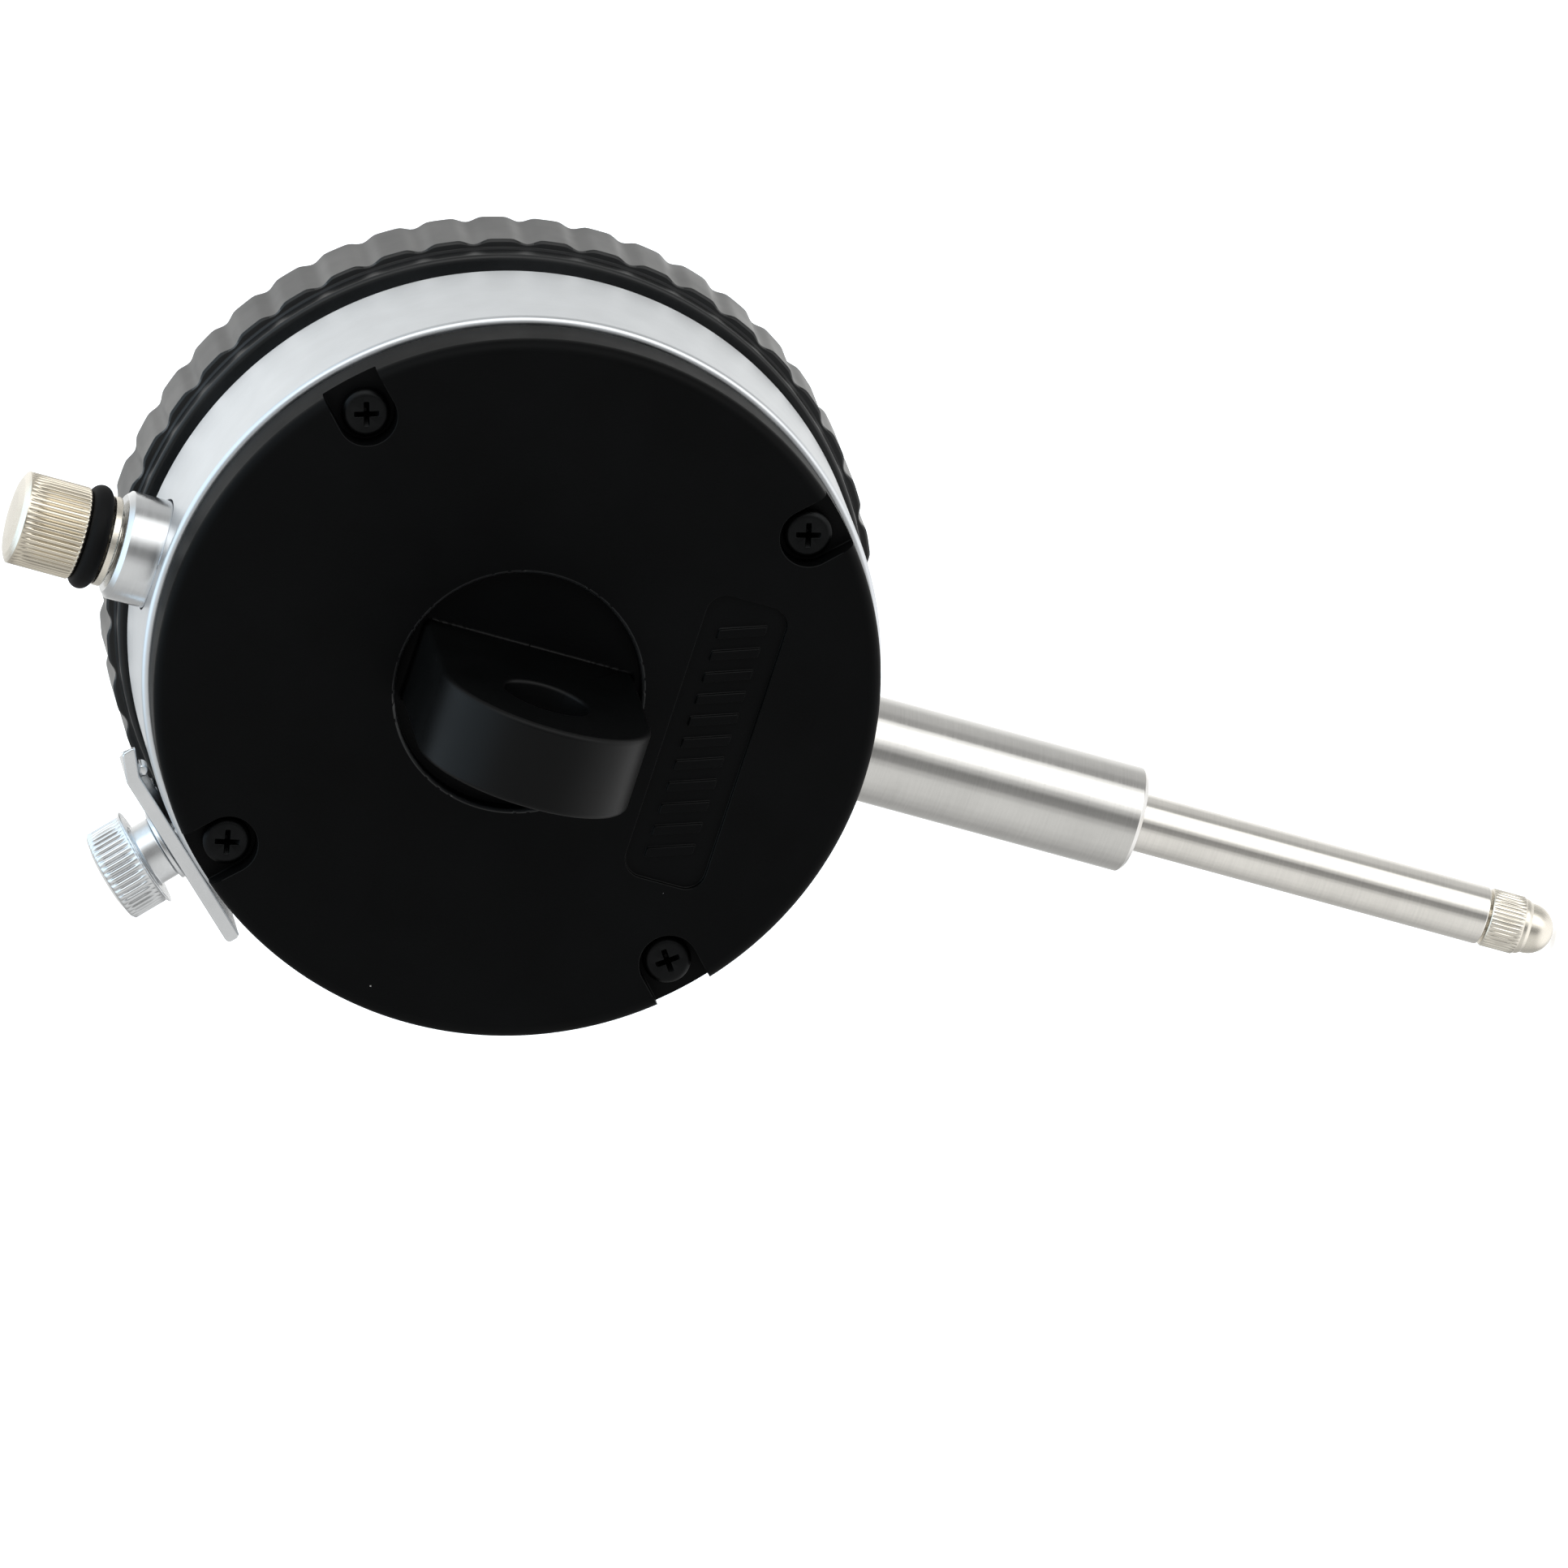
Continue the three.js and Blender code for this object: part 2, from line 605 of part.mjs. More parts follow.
function makeTopBoss() {
  const body = turnedZ([
    [GUIDE_BORE_R, TOP_BOSS_BASE_Z], [TOP_BOSS_R, TOP_BOSS_BASE_Z],
    [TOP_BOSS_R, TOP_BOSS_END_Z - TOP_BOSS_CHAMFER], [TOP_BOSS_R - TOP_BOSS_CHAMFER, TOP_BOSS_END_Z],
    [SPINDLE_R + 0.2, TOP_BOSS_END_Z], [SPINDLE_R + 0.2, TOP_BOSS_END_Z - GUIDE_LIP],
    [GUIDE_BORE_R, TOP_BOSS_END_Z - GUIDE_LIP],
  ], MEDIUM);
  return piece('top_boss', body, satinSilver);
}

function makeGuideBushes() {
  const lowFrom = STEM_END_Z + GUIDE_LIP + RUNNING;
  const highTo = TOP_BOSS_END_Z - GUIDE_LIP - RUNNING;
  const inner = SPINDLE_R + RUNNING;
  const outer = GUIDE_BORE_R - RUNNING;
  return [
    piece('stem_bush', ringZ(inner, outer, lowFrom, lowFrom + BUSH_LENGTH, MEDIUM), bronze),
    piece('top_bush', ringZ(inner, outer, highTo - BUSH_LENGTH, highTo, MEDIUM), bronze),
  ];
}

// ---- spindle and what it carries ----

// The comb that cuts the rack: its lands stand at the tooth tips and its teeth reach the roots.
function rackCutter() {
  const tipX = RACK_LINE_X - ADDENDUM;
  const rootX = RACK_LINE_X + 2 * DEDENDUM;
  const gaps = Math.round((TRAVEL + 4) / RACK_PITCH);
  const top = rackAt[1] + 3 * RACK_PITCH;
  const points = [[-3, top + RACK_PITCH], [tipX, top + RACK_PITCH]];
  for (let k = 0; k < gaps; k += 1) {
    const z = top - k * RACK_PITCH;
    const wide = (0.5 - TOOTH_TIP) * RACK_PITCH;
    points.push([tipX, z + wide], [rootX, z], [tipX, z - wide]);
  }
  const end = top - gaps * RACK_PITCH;
  points.push([tipX, end], [-3, end]);
  return plateY(shapeOf(points), -SPINDLE_R, SPINDLE_R);
}

function makeSpindle() {
  const rod = turnedZ([
    [0, SPINDLE_END_Z], [SPINDLE_R - 0.15, SPINDLE_END_Z], [SPINDLE_R, SPINDLE_END_Z + 0.15],
    [SPINDLE_R, SPINDLE_TOP_Z], [STUD_R, SPINDLE_TOP_Z], [STUD_R, STUD_TOP_Z], [0, STUD_TOP_Z],
  ], MEDIUM);
  const contactHole = rodZ(STUD_R + RUNNING, SPINDLE_END_Z - THROUGH, SPINDLE_END_Z + 4, COARSE);
  const pinHole = rodX(
    GUIDE_PIN_R + RUNNING, GUIDE_PIN_INNER_X - 0.1, SPINDLE_R + THROUGH, COARSE, 0, GUIDE_PIN_Z,
  );
  return piece('spindle', cut(rod, contactHole, pinHole, rackCutter()), polishedSteel);
}

function knurl(radius, depth, teeth) {
  return toothed(teeth, [[radius, -0.15], [radius, 0.15], [radius - depth, 0.5]]);
}

function makeCap() {
  const grip = solid(extruded(knurl(CAP_R, 0.18, CAP_TEETH), CAP_TOP_Z - CAP_DOME - CAP_BODY_Z)
    .translate(0, 0, CAP_BODY_Z));
  const domeBase = CAP_TOP_Z - CAP_DOME - 0.2;
  const dome = turnedZ([
    [0, domeBase], [CAP_R - 0.2, domeBase], [CAP_R - 0.25, domeBase + 0.25],
    [CAP_R * 0.65, CAP_TOP_Z - 0.12], [0, CAP_TOP_Z],
  ], CAP_TEETH);
  const neck = rodZ(CAP_NECK_R, CAP_NECK_Z, CAP_BODY_Z + 0.2, COARSE);
  const bore = rodZ(STUD_R + RUNNING, CAP_NECK_Z - 1, STUD_TOP_Z + LOOSE, MEDIUM);
  return piece('spindle_cap', cut(join(grip, dome, neck), bore), nickel);
}

function makeCapRing() {
  const centreZ = (CAP_NECK_Z + CAP_BODY_Z) / 2;
  const ring = new THREE.TorusGeometry(RING_CENTRE_R, RING_TUBE_R, 8, MEDIUM);
  return piece('cap_o_ring', solid(ring.translate(0, 0, centreZ)), rubber);
}

function makeCapFlange() {
  const ring = ringZ(STUD_R + RUNNING, FLANGE_R, FLANGE_Z, FLANGE_Z + FLANGE_THICK, MEDIUM);
  return piece('cap_flange', ring, nickel);
}

// The contact point is knurled, with a smooth nose that holds the ball.
function makeContact() {
  const grip = solid(extruded(knurl(CONTACT_R, 0.14, CONTACT_TEETH), CONTACT_TOP_Z - CONTACT_BODY_Z)
    .translate(0, 0, CONTACT_BODY_Z));
  const nose = rodZ(CONTACT_NOSE_R, CONTACT_NOSE_Z, CONTACT_BODY_Z + 0.2, CONTACT_TEETH);
  const shank = rodZ(STUD_R, CONTACT_TOP_Z - 0.2, SPINDLE_END_Z + 3.6, COARSE);
  const seat = ballAt(BALL_R + RUNNING);
  return piece('contact_point', cut(join(grip, nose, shank), seat), nickel);
}

function ballAt(radius) {
  const sphere = new THREE.SphereGeometry(radius, COARSE, 8).rotateX(Math.PI / 2);
  return solid(sphere.translate(0, 0, TIP_Z + BALL_R));
}

function makeGuidePin() {
  const neckFrom = SPRING_X - 0.3;
  const neckTo = SPRING_X + 0.3;
  const end = neckTo + 0.3;
  const body = turnedX([
    [0, GUIDE_PIN_INNER_X], [GUIDE_PIN_R, GUIDE_PIN_INNER_X], [GUIDE_PIN_R, neckFrom],
    [GUIDE_PIN_NECK_R, neckFrom], [GUIDE_PIN_NECK_R, neckTo], [GUIDE_PIN_R, neckTo],
    [GUIDE_PIN_R, end], [0, end],
  ], COARSE, 0, GUIDE_PIN_Z);
  return piece('guide_pin', body, darkSteel);
}

// ---- movement plates ----

function bushHole([x, z], low, high) {
  return rodY(BUSH_R + RUNNING, low - 1, high + 1, COARSE, x, z);
}

function makeFrontPlate() {
  let body = rodY(PLATE_R, PLATE_FRONT_Y, PLATE_REAR_Y, FINE);
  for (const x of [-DIAL_POST_X, DIAL_POST_X]) {
    const front = DIAL_FRONT_Y + 2 * DIAL_THICK + LOOSE;
    const post = rodY(DIAL_POST_R, front, PLATE_FRONT_Y + 0.2, COARSE, x, 0);
    const tapped = rodY(0.55, DIAL_FRONT_Y - 1, PLATE_REAR_Y - 0.4, COARSE, x, 0);
    body = body.add(post).subtract(tapped);
  }
  for (const [x, z] of plateScrewPlaces) {
    body = body.subtract(rodY(CLEAR_R, PLATE_FRONT_Y - THROUGH, PLATE_REAR_Y + THROUGH, COARSE, x, z));
  }
  const pivots = [centreAt, rackAt, takeUpAt, counterAt];
  const holes = pivots.map((at) => bushHole(at, PLATE_FRONT_Y, PLATE_REAR_Y));
  return piece('front_plate', cut(body, ...holes), brass);
}

function makeBridge() {
  const outline = roundedHull([PILLARS[0], PILLARS[2], PILLARS[1]], 2 * PILLAR_R);
  const plate = plateY(outline, BRIDGE_FRONT_Y, BRIDGE_REAR_Y);
  const screwHoles = PILLARS.map(([x, z]) => rodY(
    CLEAR_R, BRIDGE_FRONT_Y - THROUGH, BRIDGE_REAR_Y + THROUGH, COARSE, x, z,
  ));
  const bushes = [rackAt, takeUpAt].map((at) => bushHole(at, BRIDGE_FRONT_Y, BRIDGE_REAR_Y));
  return piece('rear_bridge', cut(plate, ...screwHoles, ...bushes), brass);
}

function makePillars() {
  return PILLARS.map(([x, z], k) => {
    const rod = rodY(PILLAR_R, PLATE_REAR_Y + RUNNING, BRIDGE_FRONT_Y - RUNNING, COARSE, x, z);
    const tapped = rodY(TAPPED_R, 0, BRIDGE_FRONT_Y + THROUGH, COARSE, x, z);
    return piece(`pillar_${k + 1}`, rod.subtract(tapped), darkSteel);
  });
}

function makeMovementScrews() {
  const bridge = PILLARS.map((at, k) => crossScrew(
    `bridge_screw_${k + 1}`, at, BRIDGE_REAR_Y + RUNNING,
    SMALL_HEAD_R, SMALL_HEAD_HEIGHT, SMALL_SHANK_R, BRIDGE_SCREW_LENGTH, 1, darkSteel,
  ));
  const plate = plateScrewPlaces.map((at, k) => crossScrew(
    `plate_screw_${k + 1}`, at, PLATE_REAR_Y + RUNNING,
    SMALL_HEAD_R, SMALL_HEAD_HEIGHT, SMALL_SHANK_R, PLATE_SCREW_LENGTH, 1, darkSteel,
  ));
  return [...bridge, ...plate];
}

// The cock holds the centre arbor's rear pivot between the wheels and the spindle.
function makeCock() {
  const plate = plateY(roundedHull([centreAt, COCK_FOOT], 1.8), COCK_FRONT_Y, COCK_REAR_Y);
  const foot = rodY(1.6, PLATE_REAR_Y + RUNNING, COCK_REAR_Y, COARSE, ...COCK_FOOT);
  const pivotHole = rodY(PIVOT_R + RUNNING, COCK_FRONT_Y - 1, COCK_REAR_Y + 1, COARSE);
  return piece('centre_cock', join(plate, foot).subtract(pivotHole), brass);
}

function makeBush(name, [x, z], low, high) {
  return piece(name, ringY(PIVOT_R + RUNNING, BUSH_R, low, high, COARSE, x, z), ruby);
}

function makePivotBushes() {
  return [
    makeBush('centre_bush_front', centreAt, PLATE_FRONT_Y, PLATE_REAR_Y),
    makeBush('rack_bush_front', rackAt, PLATE_FRONT_Y, PLATE_REAR_Y),
    makeBush('rack_bush_rear', rackAt, BRIDGE_FRONT_Y, BRIDGE_REAR_Y),
    makeBush('take_up_bush_front', takeUpAt, PLATE_FRONT_Y, PLATE_REAR_Y),
    makeBush('take_up_bush_rear', takeUpAt, BRIDGE_FRONT_Y, BRIDGE_REAR_Y),
    makeBush('counter_bush', counterAt, PLATE_FRONT_Y - 1, PLATE_REAR_Y),
  ];
}

// The guide plate's slot holds the guide pin, so that the spindle can't turn.
function makeGuidePlate() {
  const top = BRIDGE_FRONT_Y - RUNNING;
  const rail = block(RAIL_NEAR_X, RAIL_FAR_X, -2, top, RAIL_LOW_Z, RAIL_HIGH_Z);
  const slot = block(
    RAIL_NEAR_X - THROUGH, RAIL_FAR_X + THROUGH, -RAIL_SLOT_HALF, RAIL_SLOT_HALF,
    RAIL_LOW_Z + 1.5, RAIL_HIGH_Z - 0.5,
  );
  const foot = block(RAIL_FAR_X - 0.1, 2 * RAIL_FAR_X, BRIDGE_FRONT_Y - 1, top, 8, 12);
  return piece('guide_plate', cut(join(rail, foot), slot), darkSteel);
}

// ---- springs ----

function makeSpringPost() {
  const shoulder = WEB_REAR_Y + RUNNING;
  const neckHalf = 0.4;
  const end = neckHalf + 0.5;
  const body = turnedY([
    [0, WEB_FRONT_Y], [POST_SHANK_R, WEB_FRONT_Y], [POST_SHANK_R, shoulder], [POST_R, shoulder],
    [POST_R, -neckHalf], [POST_NECK_R, -neckHalf], [POST_NECK_R, neckHalf], [POST_R, neckHalf],
    [POST_R, end], [0, end],
  ], COARSE, SPRING_X, SPRING_POST_Z);
  return piece('spring_post', body, darkSteel);
}

class Helix extends THREE.Curve {
  getPoint(t) {
    const angle = 2 * Math.PI * SPRING_TURNS * t;
    const z = SPRING_LOW_Z + (SPRING_HIGH_Z - SPRING_LOW_Z) * t;
    return new THREE.Vector3(SPRING_X + SPRING_R * Math.cos(angle), SPRING_R * Math.sin(angle), z);
  }
}

function makeReturnSpring() {
  const section = toothed(3, [[SPRING_WIRE_R, 0]]);
  const wire = new THREE.ExtrudeGeometry(section, { steps: SPRING_TURNS * 7, extrudePath: new Helix() });
  return piece('return_spring', solid(wire), darkSteel);
}

// A flat spiral in X and Z round the take-up arbor.
function makeHairspring() {
  const steps = HAIRSPRING_TURNS * 14;
  const onSpiral = (k, extra) => {
    const angle = 2 * Math.PI * HAIRSPRING_TURNS * k / steps;
    const radius = HAIRSPRING_INNER_R + (HAIRSPRING_OUTER_R - HAIRSPRING_INNER_R) * k / steps + extra;
    return [takeUpAt[0] + radius * Math.cos(angle), takeUpAt[1] + radius * Math.sin(angle)];
  };
  const outer = [];
  const inner = [];
  for (let k = 0; k <= steps; k += 1) {
    outer.push(onSpiral(k, HAIRSPRING_THICK));
    inner.push(onSpiral(k, 0));
  }
  const strip = plateY(shapeOf([...outer, ...inner.reverse()]), HAIRSPRING_FRONT_Y, HAIRSPRING_REAR_Y);
  return piece('hairspring', strip, blueSteel);
}

function makeHairspringStud() {
  const x = takeUpAt[0] + HAIRSPRING_OUTER_R + 0.75;
  const rod = rodY(0.5, HAIRSPRING_FRONT_Y - 0.1, BRIDGE_FRONT_Y - RUNNING, COARSE, x, takeUpAt[1]);
  return piece('hairspring_stud', rod, darkSteel);
}

// ---- arbors, wheels and hands ----

function arborY([x, z], steps) {
  const profile = [[0, steps[0][1]]];
  for (const [radius, from, to] of steps) profile.push([radius, from], [radius, to]);
  profile.push([0, steps[steps.length - 1][2]]);
  return turnedY(profile, COARSE, x, z);
}

function makeCentreArbor() {
  const rod = arborY(centreAt, [
    [0.3, -14.3, -13.0], [PIVOT_R, -13.0, PLATE_REAR_Y + SHOULDER_GAP],
    [ARBOR_R, PLATE_REAR_Y + SHOULDER_GAP, CENTRE_SHOULDER_Y], [PIVOT_R, CENTRE_SHOULDER_Y, -2.5],
  ]);
  const teeth = pinion(
    centrePitchR, CENTRE_TEETH, centrePhase, CENTRE_PINION_FRONT_Y, CENTRE_PINION_REAR_Y, centreAt,
  );
  return piece('centre_arbor', rod.add(teeth), darkSteel);
}

function makeRackArbor() {
  const rod = arborY(rackAt, [
    [PIVOT_R, PIVOT_FRONT_Y, PLATE_REAR_Y + SHOULDER_GAP],
    [ARBOR_R, PLATE_REAR_Y + SHOULDER_GAP, BRIDGE_FRONT_Y - SHOULDER_GAP],
    [PIVOT_R, BRIDGE_FRONT_Y - SHOULDER_GAP, PIVOT_REAR_Y],
  ]);
  const rackTeeth = pinion(
    rackPinionR, RACK_PINION_TEETH, 0, -RACK_PINION_HALF, RACK_PINION_HALF, rackAt,
  );
  const counterTeeth = pinion(
    COUNTER_PINION_TEETH * MODULE / 2, COUNTER_PINION_TEETH, counterPinionPhase,
    COUNTER_PINION_FRONT_Y, COUNTER_PINION_REAR_Y, rackAt,
  );
  return piece('rack_arbor', join(rod, rackTeeth, counterTeeth), darkSteel);
}

function makeWheel(name, at, phase) {
  const rear = WHEEL_FRONT_Y + WHEEL_THICK;
  const disc = wheel(wheelPitchR, WHEEL_TEETH, phase, WHEEL_FRONT_Y, rear, at);
  const bore = rodY(ARBOR_R + RUNNING, WHEEL_FRONT_Y - THROUGH, rear + THROUGH, COARSE, ...at);
  return piece(name, disc.subtract(bore), brass);
}

function makeTakeUpArbor() {
  const rod = arborY(takeUpAt, [
    [PIVOT_R, PIVOT_FRONT_Y, PLATE_REAR_Y + SHOULDER_GAP],
    [ARBOR_R, PLATE_REAR_Y + SHOULDER_GAP, HAIRSPRING_FRONT_Y - 0.1],
    [1.1, HAIRSPRING_FRONT_Y - 0.1, HAIRSPRING_REAR_Y + 0.1],
    [ARBOR_R, HAIRSPRING_REAR_Y + 0.1, BRIDGE_FRONT_Y - SHOULDER_GAP],
    [PIVOT_R, BRIDGE_FRONT_Y - SHOULDER_GAP, PIVOT_REAR_Y],
  ]);
  return piece('take_up_arbor', rod, darkSteel);
}

function makeCounterArbor() {
  const rod = arborY(counterAt, [
    [0.3, SMALL_HAND_FRONT_Y, -12.3], [PIVOT_R, -12.3, PLATE_REAR_Y + SHOULDER_GAP],
    [ARBOR_R, PLATE_REAR_Y + SHOULDER_GAP, COUNTER_WHEEL_REAR_Y + 0.1],
  ]);
  const teeth = wheel(
    COUNTER_TEETH * MODULE / 2, COUNTER_TEETH, counterPhase,
    COUNTER_WHEEL_FRONT_Y, COUNTER_WHEEL_REAR_Y, counterAt,
  );
  return piece('counter_arbor', rod.add(teeth), darkSteel);
}

function handShape(length, tail, width, tipWidth) {
  return shapeOf([
    [-tipWidth / 2, length], [-width / 2, 0], [-width / 2, -tail],
    [width / 2, -tail], [width / 2, 0], [tipWidth / 2, length],
  ]);
}

function makePointer() {
  const blade = plateY(handShape(22.3, 7, 1.5, 0.25), POINTER_FRONT_Y, POINTER_REAR_Y);
  const disc = rodY(2.2, POINTER_FRONT_Y, POINTER_REAR_Y, MEDIUM);
  const hole = rodY(HUB_R + RUNNING, POINTER_FRONT_Y - THROUGH, POINTER_REAR_Y + THROUGH, COARSE);
  return piece('main_pointer', blade.add(disc).subtract(hole), pointerBlack);
}

function makePointerHub() {
  const hub = ringY(0.35, HUB_R, POINTER_FRONT_Y - 0.45, POINTER_REAR_Y + 0.4, COARSE);
  return piece('pointer_hub', hub, nickel);
}

function makeCounterHand() {
  const outline = shifted(handShape(2.7, 1.1, 0.55, 0.12), counterAt);
  const blade = plateY(outline, SMALL_HAND_FRONT_Y, SMALL_HAND_REAR_Y);
  const hub = rodY(0.8, SMALL_HAND_FRONT_Y - 0.1, SMALL_HAND_REAR_Y, COARSE, ...counterAt);
  const hole = rodY(
    0.35, SMALL_HAND_FRONT_Y - THROUGH, SMALL_HAND_REAR_Y + THROUGH, COARSE, ...counterAt,
  );
  return piece('counter_hand', blade.add(hub).subtract(hole), pointerBlack);
}

// ---- dials, lens and bezel ----

function makeInnerDial() {
  const low = DIAL_FRONT_Y + DIAL_THICK;
  const high = low + DIAL_THICK;
  const disc = rodY(DIAL_SPLIT_R - 0.1, low, high, FINE);
  const centreHole = rodY(1.0, low - 1, high + 1, COARSE);
  const counterHole = rodY(0.7, low - 1, high + 1, COARSE, ...counterAt);
  const screwHoles = [-DIAL_POST_X, DIAL_POST_X].map((x) => rodY(0.6, low - 1, high + 1, COARSE, x, 0));
  return piece('inner_dial', cut(disc, centreHole, counterHole, ...screwHoles), dialWhite);
}

function makeDialScrews() {
  const under = DIAL_FRONT_Y + DIAL_THICK - RUNNING;
  return [-DIAL_POST_X, DIAL_POST_X].map((x, k) => crossScrew(`dial_screw_${k + 1}`, [x, 0],
    under, 1.1, 0.4, 0.5, 2.5, -1, nickel));
}

function makeOuterDial() {
  const ring = ringY(DIAL_SPLIT_R + 0.1, DIAL_R, DIAL_FRONT_Y, DIAL_FRONT_Y + DIAL_THICK, FINE);
  return piece('outer_dial', ring, dialWhite);
}

function makeLens() {
  return piece('lens', rodY(LENS_R, LENS_FRONT_Y, LENS_FRONT_Y + LENS_THICK, FINE), glass);
}

function makeDialSpacer() {
  const ring = ringY(24.75, LENS_R + 0.1, LENS_FRONT_Y + LENS_THICK + 0.1, DIAL_FRONT_Y - 0.1, FINE);
  return piece('dial_spacer', ring, blackPlastic);
}

function makeBezel() {
  const corners = [[CREST_R, -0.28], [CREST_R, 0.28], [VALLEY_R, 0.5]];
  const grip = plateY(toothed(FLUTES, corners), BEZEL_FRONT_Y, FLUTE_REAR_Y);
  const lip = rodY(BEZEL_LIP_R, FLUTE_REAR_Y - 0.2, BEZEL_REAR_Y, FINE);
  const groove = GROOVE_HALF + 0.05;
  const bore = turnedY([
    [0, BEZEL_FRONT_Y - 1], [BEZEL_WINDOW_R + 1.7, BEZEL_FRONT_Y - 1],
    [BEZEL_WINDOW_R, BEZEL_FRONT_Y + 0.7], [LENS_SEAT_R, LENS_FRONT_Y - 0.1],
    [LENS_SEAT_R, DIAL_FRONT_Y - LOOSE], [BEZEL_BORE_R, DIAL_FRONT_Y - LOOSE],
    [BEZEL_BORE_R, GROOVE_Y - groove], [BEZEL_BORE_R + 0.35, GROOVE_Y - groove],
    [BEZEL_BORE_R + 0.35, GROOVE_Y + groove], [BEZEL_BORE_R, GROOVE_Y + groove],
    [BEZEL_BORE_R, BEZEL_REAR_Y + 1], [0, BEZEL_REAR_Y + 1],
  ], FINE);
  return piece('bezel', join(grip, lip).subtract(bore), blackBezel);
}

// The split wire ring sits in facing grooves and holds the bezel on the case.
function makeWireRing() {
  const ring = ringY(GROOVE_R + 0.15, BEZEL_BORE_R + 0.2, GROOVE_Y - 0.3, GROOVE_Y + 0.3, FINE);
  const split = block(20, 30, GROOVE_Y - 1, GROOVE_Y + 1, -2.5, 2.5);
  return piece('bezel_wire_ring', ring.subtract(split), darkSteel);
}

// ---- bezel clamp, drawn with its screw on X and then turned to its place round the case ----

// The strip lies flat on X. Its upper end is bent back toward the case, and cut on a slant.
function makeClampStrip() {
  const low = CLAMP_INNER_R;
  const high = low + CLAMP_THICK;
  const drop = CLAMP_TAB_LENGTH * Math.sin(CLAMP_TAB_ANGLE);
  const endZ = CLAMP_BEND_Z + CLAMP_TAB_LENGTH * Math.cos(CLAMP_TAB_ANGLE);
  const side = shapeOf([
    [low, CLAMP_LOW_Z], [high, CLAMP_LOW_Z], [high, CLAMP_BEND_Z],
    [high - drop, endZ], [low - drop, endZ], [low, CLAMP_BEND_Z],
  ]);
  const slant = new THREE.Shape();
  slant.moveTo(CLAMP_FRONT_Y - THROUGH, CLAMP_BEND_Z);
  slant.lineTo(CLAMP_FRONT_Y, CLAMP_BEND_Z);
  slant.lineTo(CLAMP_REAR_Y - LOOSE, endZ);
  slant.lineTo(CLAMP_REAR_Y - LOOSE, endZ + THROUGH);
  slant.lineTo(CLAMP_FRONT_Y - THROUGH, endZ + THROUGH);
  const cutter = new THREE.ExtrudeGeometry(slant, { depth: 6, bevelEnabled: false });
  const corner = solid(cutter.rotateX(Math.PI / 2).rotateZ(Math.PI / 2).translate(low - 3, 0, 0));
  return plateY(side, CLAMP_FRONT_Y, CLAMP_REAR_Y).subtract(corner);
}

// The foot points at the bezel's lip, and the heel is a round bead that stands off the case.
function makeClampPlate() {
  const low = CLAMP_INNER_R;
  const high = low + CLAMP_THICK;
  const foot = block(low, high, CLAMP_FOOT_Y, CLAMP_FRONT_Y + 0.2, -CLAMP_FOOT_HALF, CLAMP_FOOT_HALF);
  const heel = solid(turned([
    [0, CLAMP_HEEL_FRONT_Y], [CLAMP_HEEL_R, CLAMP_HEEL_FRONT_Y],
    [CLAMP_HEEL_R, CLAMP_HEEL_REAR_Y], [0, CLAMP_HEEL_REAR_Y],
  ], COARSE).translate(low - 0.3, 0, CLAMP_HEEL_Z));
  const hole = rodX(CLAMP_HOLE_R, low - THROUGH, high + THROUGH, COARSE, CLAMP_Y, 0);
  return piece('clamp_plate', cut(join(makeClampStrip(), foot, heel), hole), satinSilver);
}

function makeClampWasher() {
  const from = CLAMP_INNER_R + CLAMP_THICK + RUNNING;
  const bore = CLAMP_SHANK_R + 0.1;
  const ring = turnedX([
    [bore, from], [WASHER_R, from], [WASHER_R, from + WASHER_THICK], [bore, from + WASHER_THICK],
  ], MEDIUM, CLAMP_Y, 0);
  return piece('clamp_washer', ring, satinSilver);
}

// The screw's shank stops short of the case's bore, and its knob has a thin lip on the inner edge.
function makeClampScrew() {
  const neckFrom = CLAMP_INNER_R + CLAMP_THICK + WASHER_THICK + 2 * RUNNING;
  const lipTo = KNOB_FROM + KNOB_LIP_THICK;
  const stalk = turnedX([
    [0, CLAMP_SHANK_FROM], [CLAMP_SHANK_R, CLAMP_SHANK_FROM], [CLAMP_SHANK_R, neckFrom], [KNOB_NECK_R, neckFrom],
    [KNOB_NECK_R, KNOB_FROM], [KNOB_LIP_R, KNOB_FROM], [KNOB_LIP_R, lipTo], [0, lipTo],
  ], KNOB_TEETH, CLAMP_Y, 0);
  const gripEnd = KNOB_TO - KNOB_DOME;
  const grip = solid(extruded(knurl(KNOB_R, 0.2, KNOB_TEETH), gripEnd - KNOB_FROM - RUNNING)
    .rotateY(Math.PI / 2).translate(KNOB_FROM + RUNNING, CLAMP_Y, 0));
  const dome = turnedX([
    [0, gripEnd - 0.2], [KNOB_R - 0.25, gripEnd - 0.2], [KNOB_R - 0.35, gripEnd + 0.1],
    [KNOB_R * 0.6, KNOB_TO - 0.08], [0, KNOB_TO],
  ], KNOB_TEETH, CLAMP_Y, 0);
  return piece('clamp_screw', join(stalk, grip, dome), satinSilver);
}

function makeClamp() {
  const clamp = new THREE.Group();
  clamp.add(makeClampPlate(), makeClampWasher(), makeClampScrew());
  clamp.rotation.y = -CLAMP_ANGLE;
  return clamp;
}

// ---- the whole indicator ----

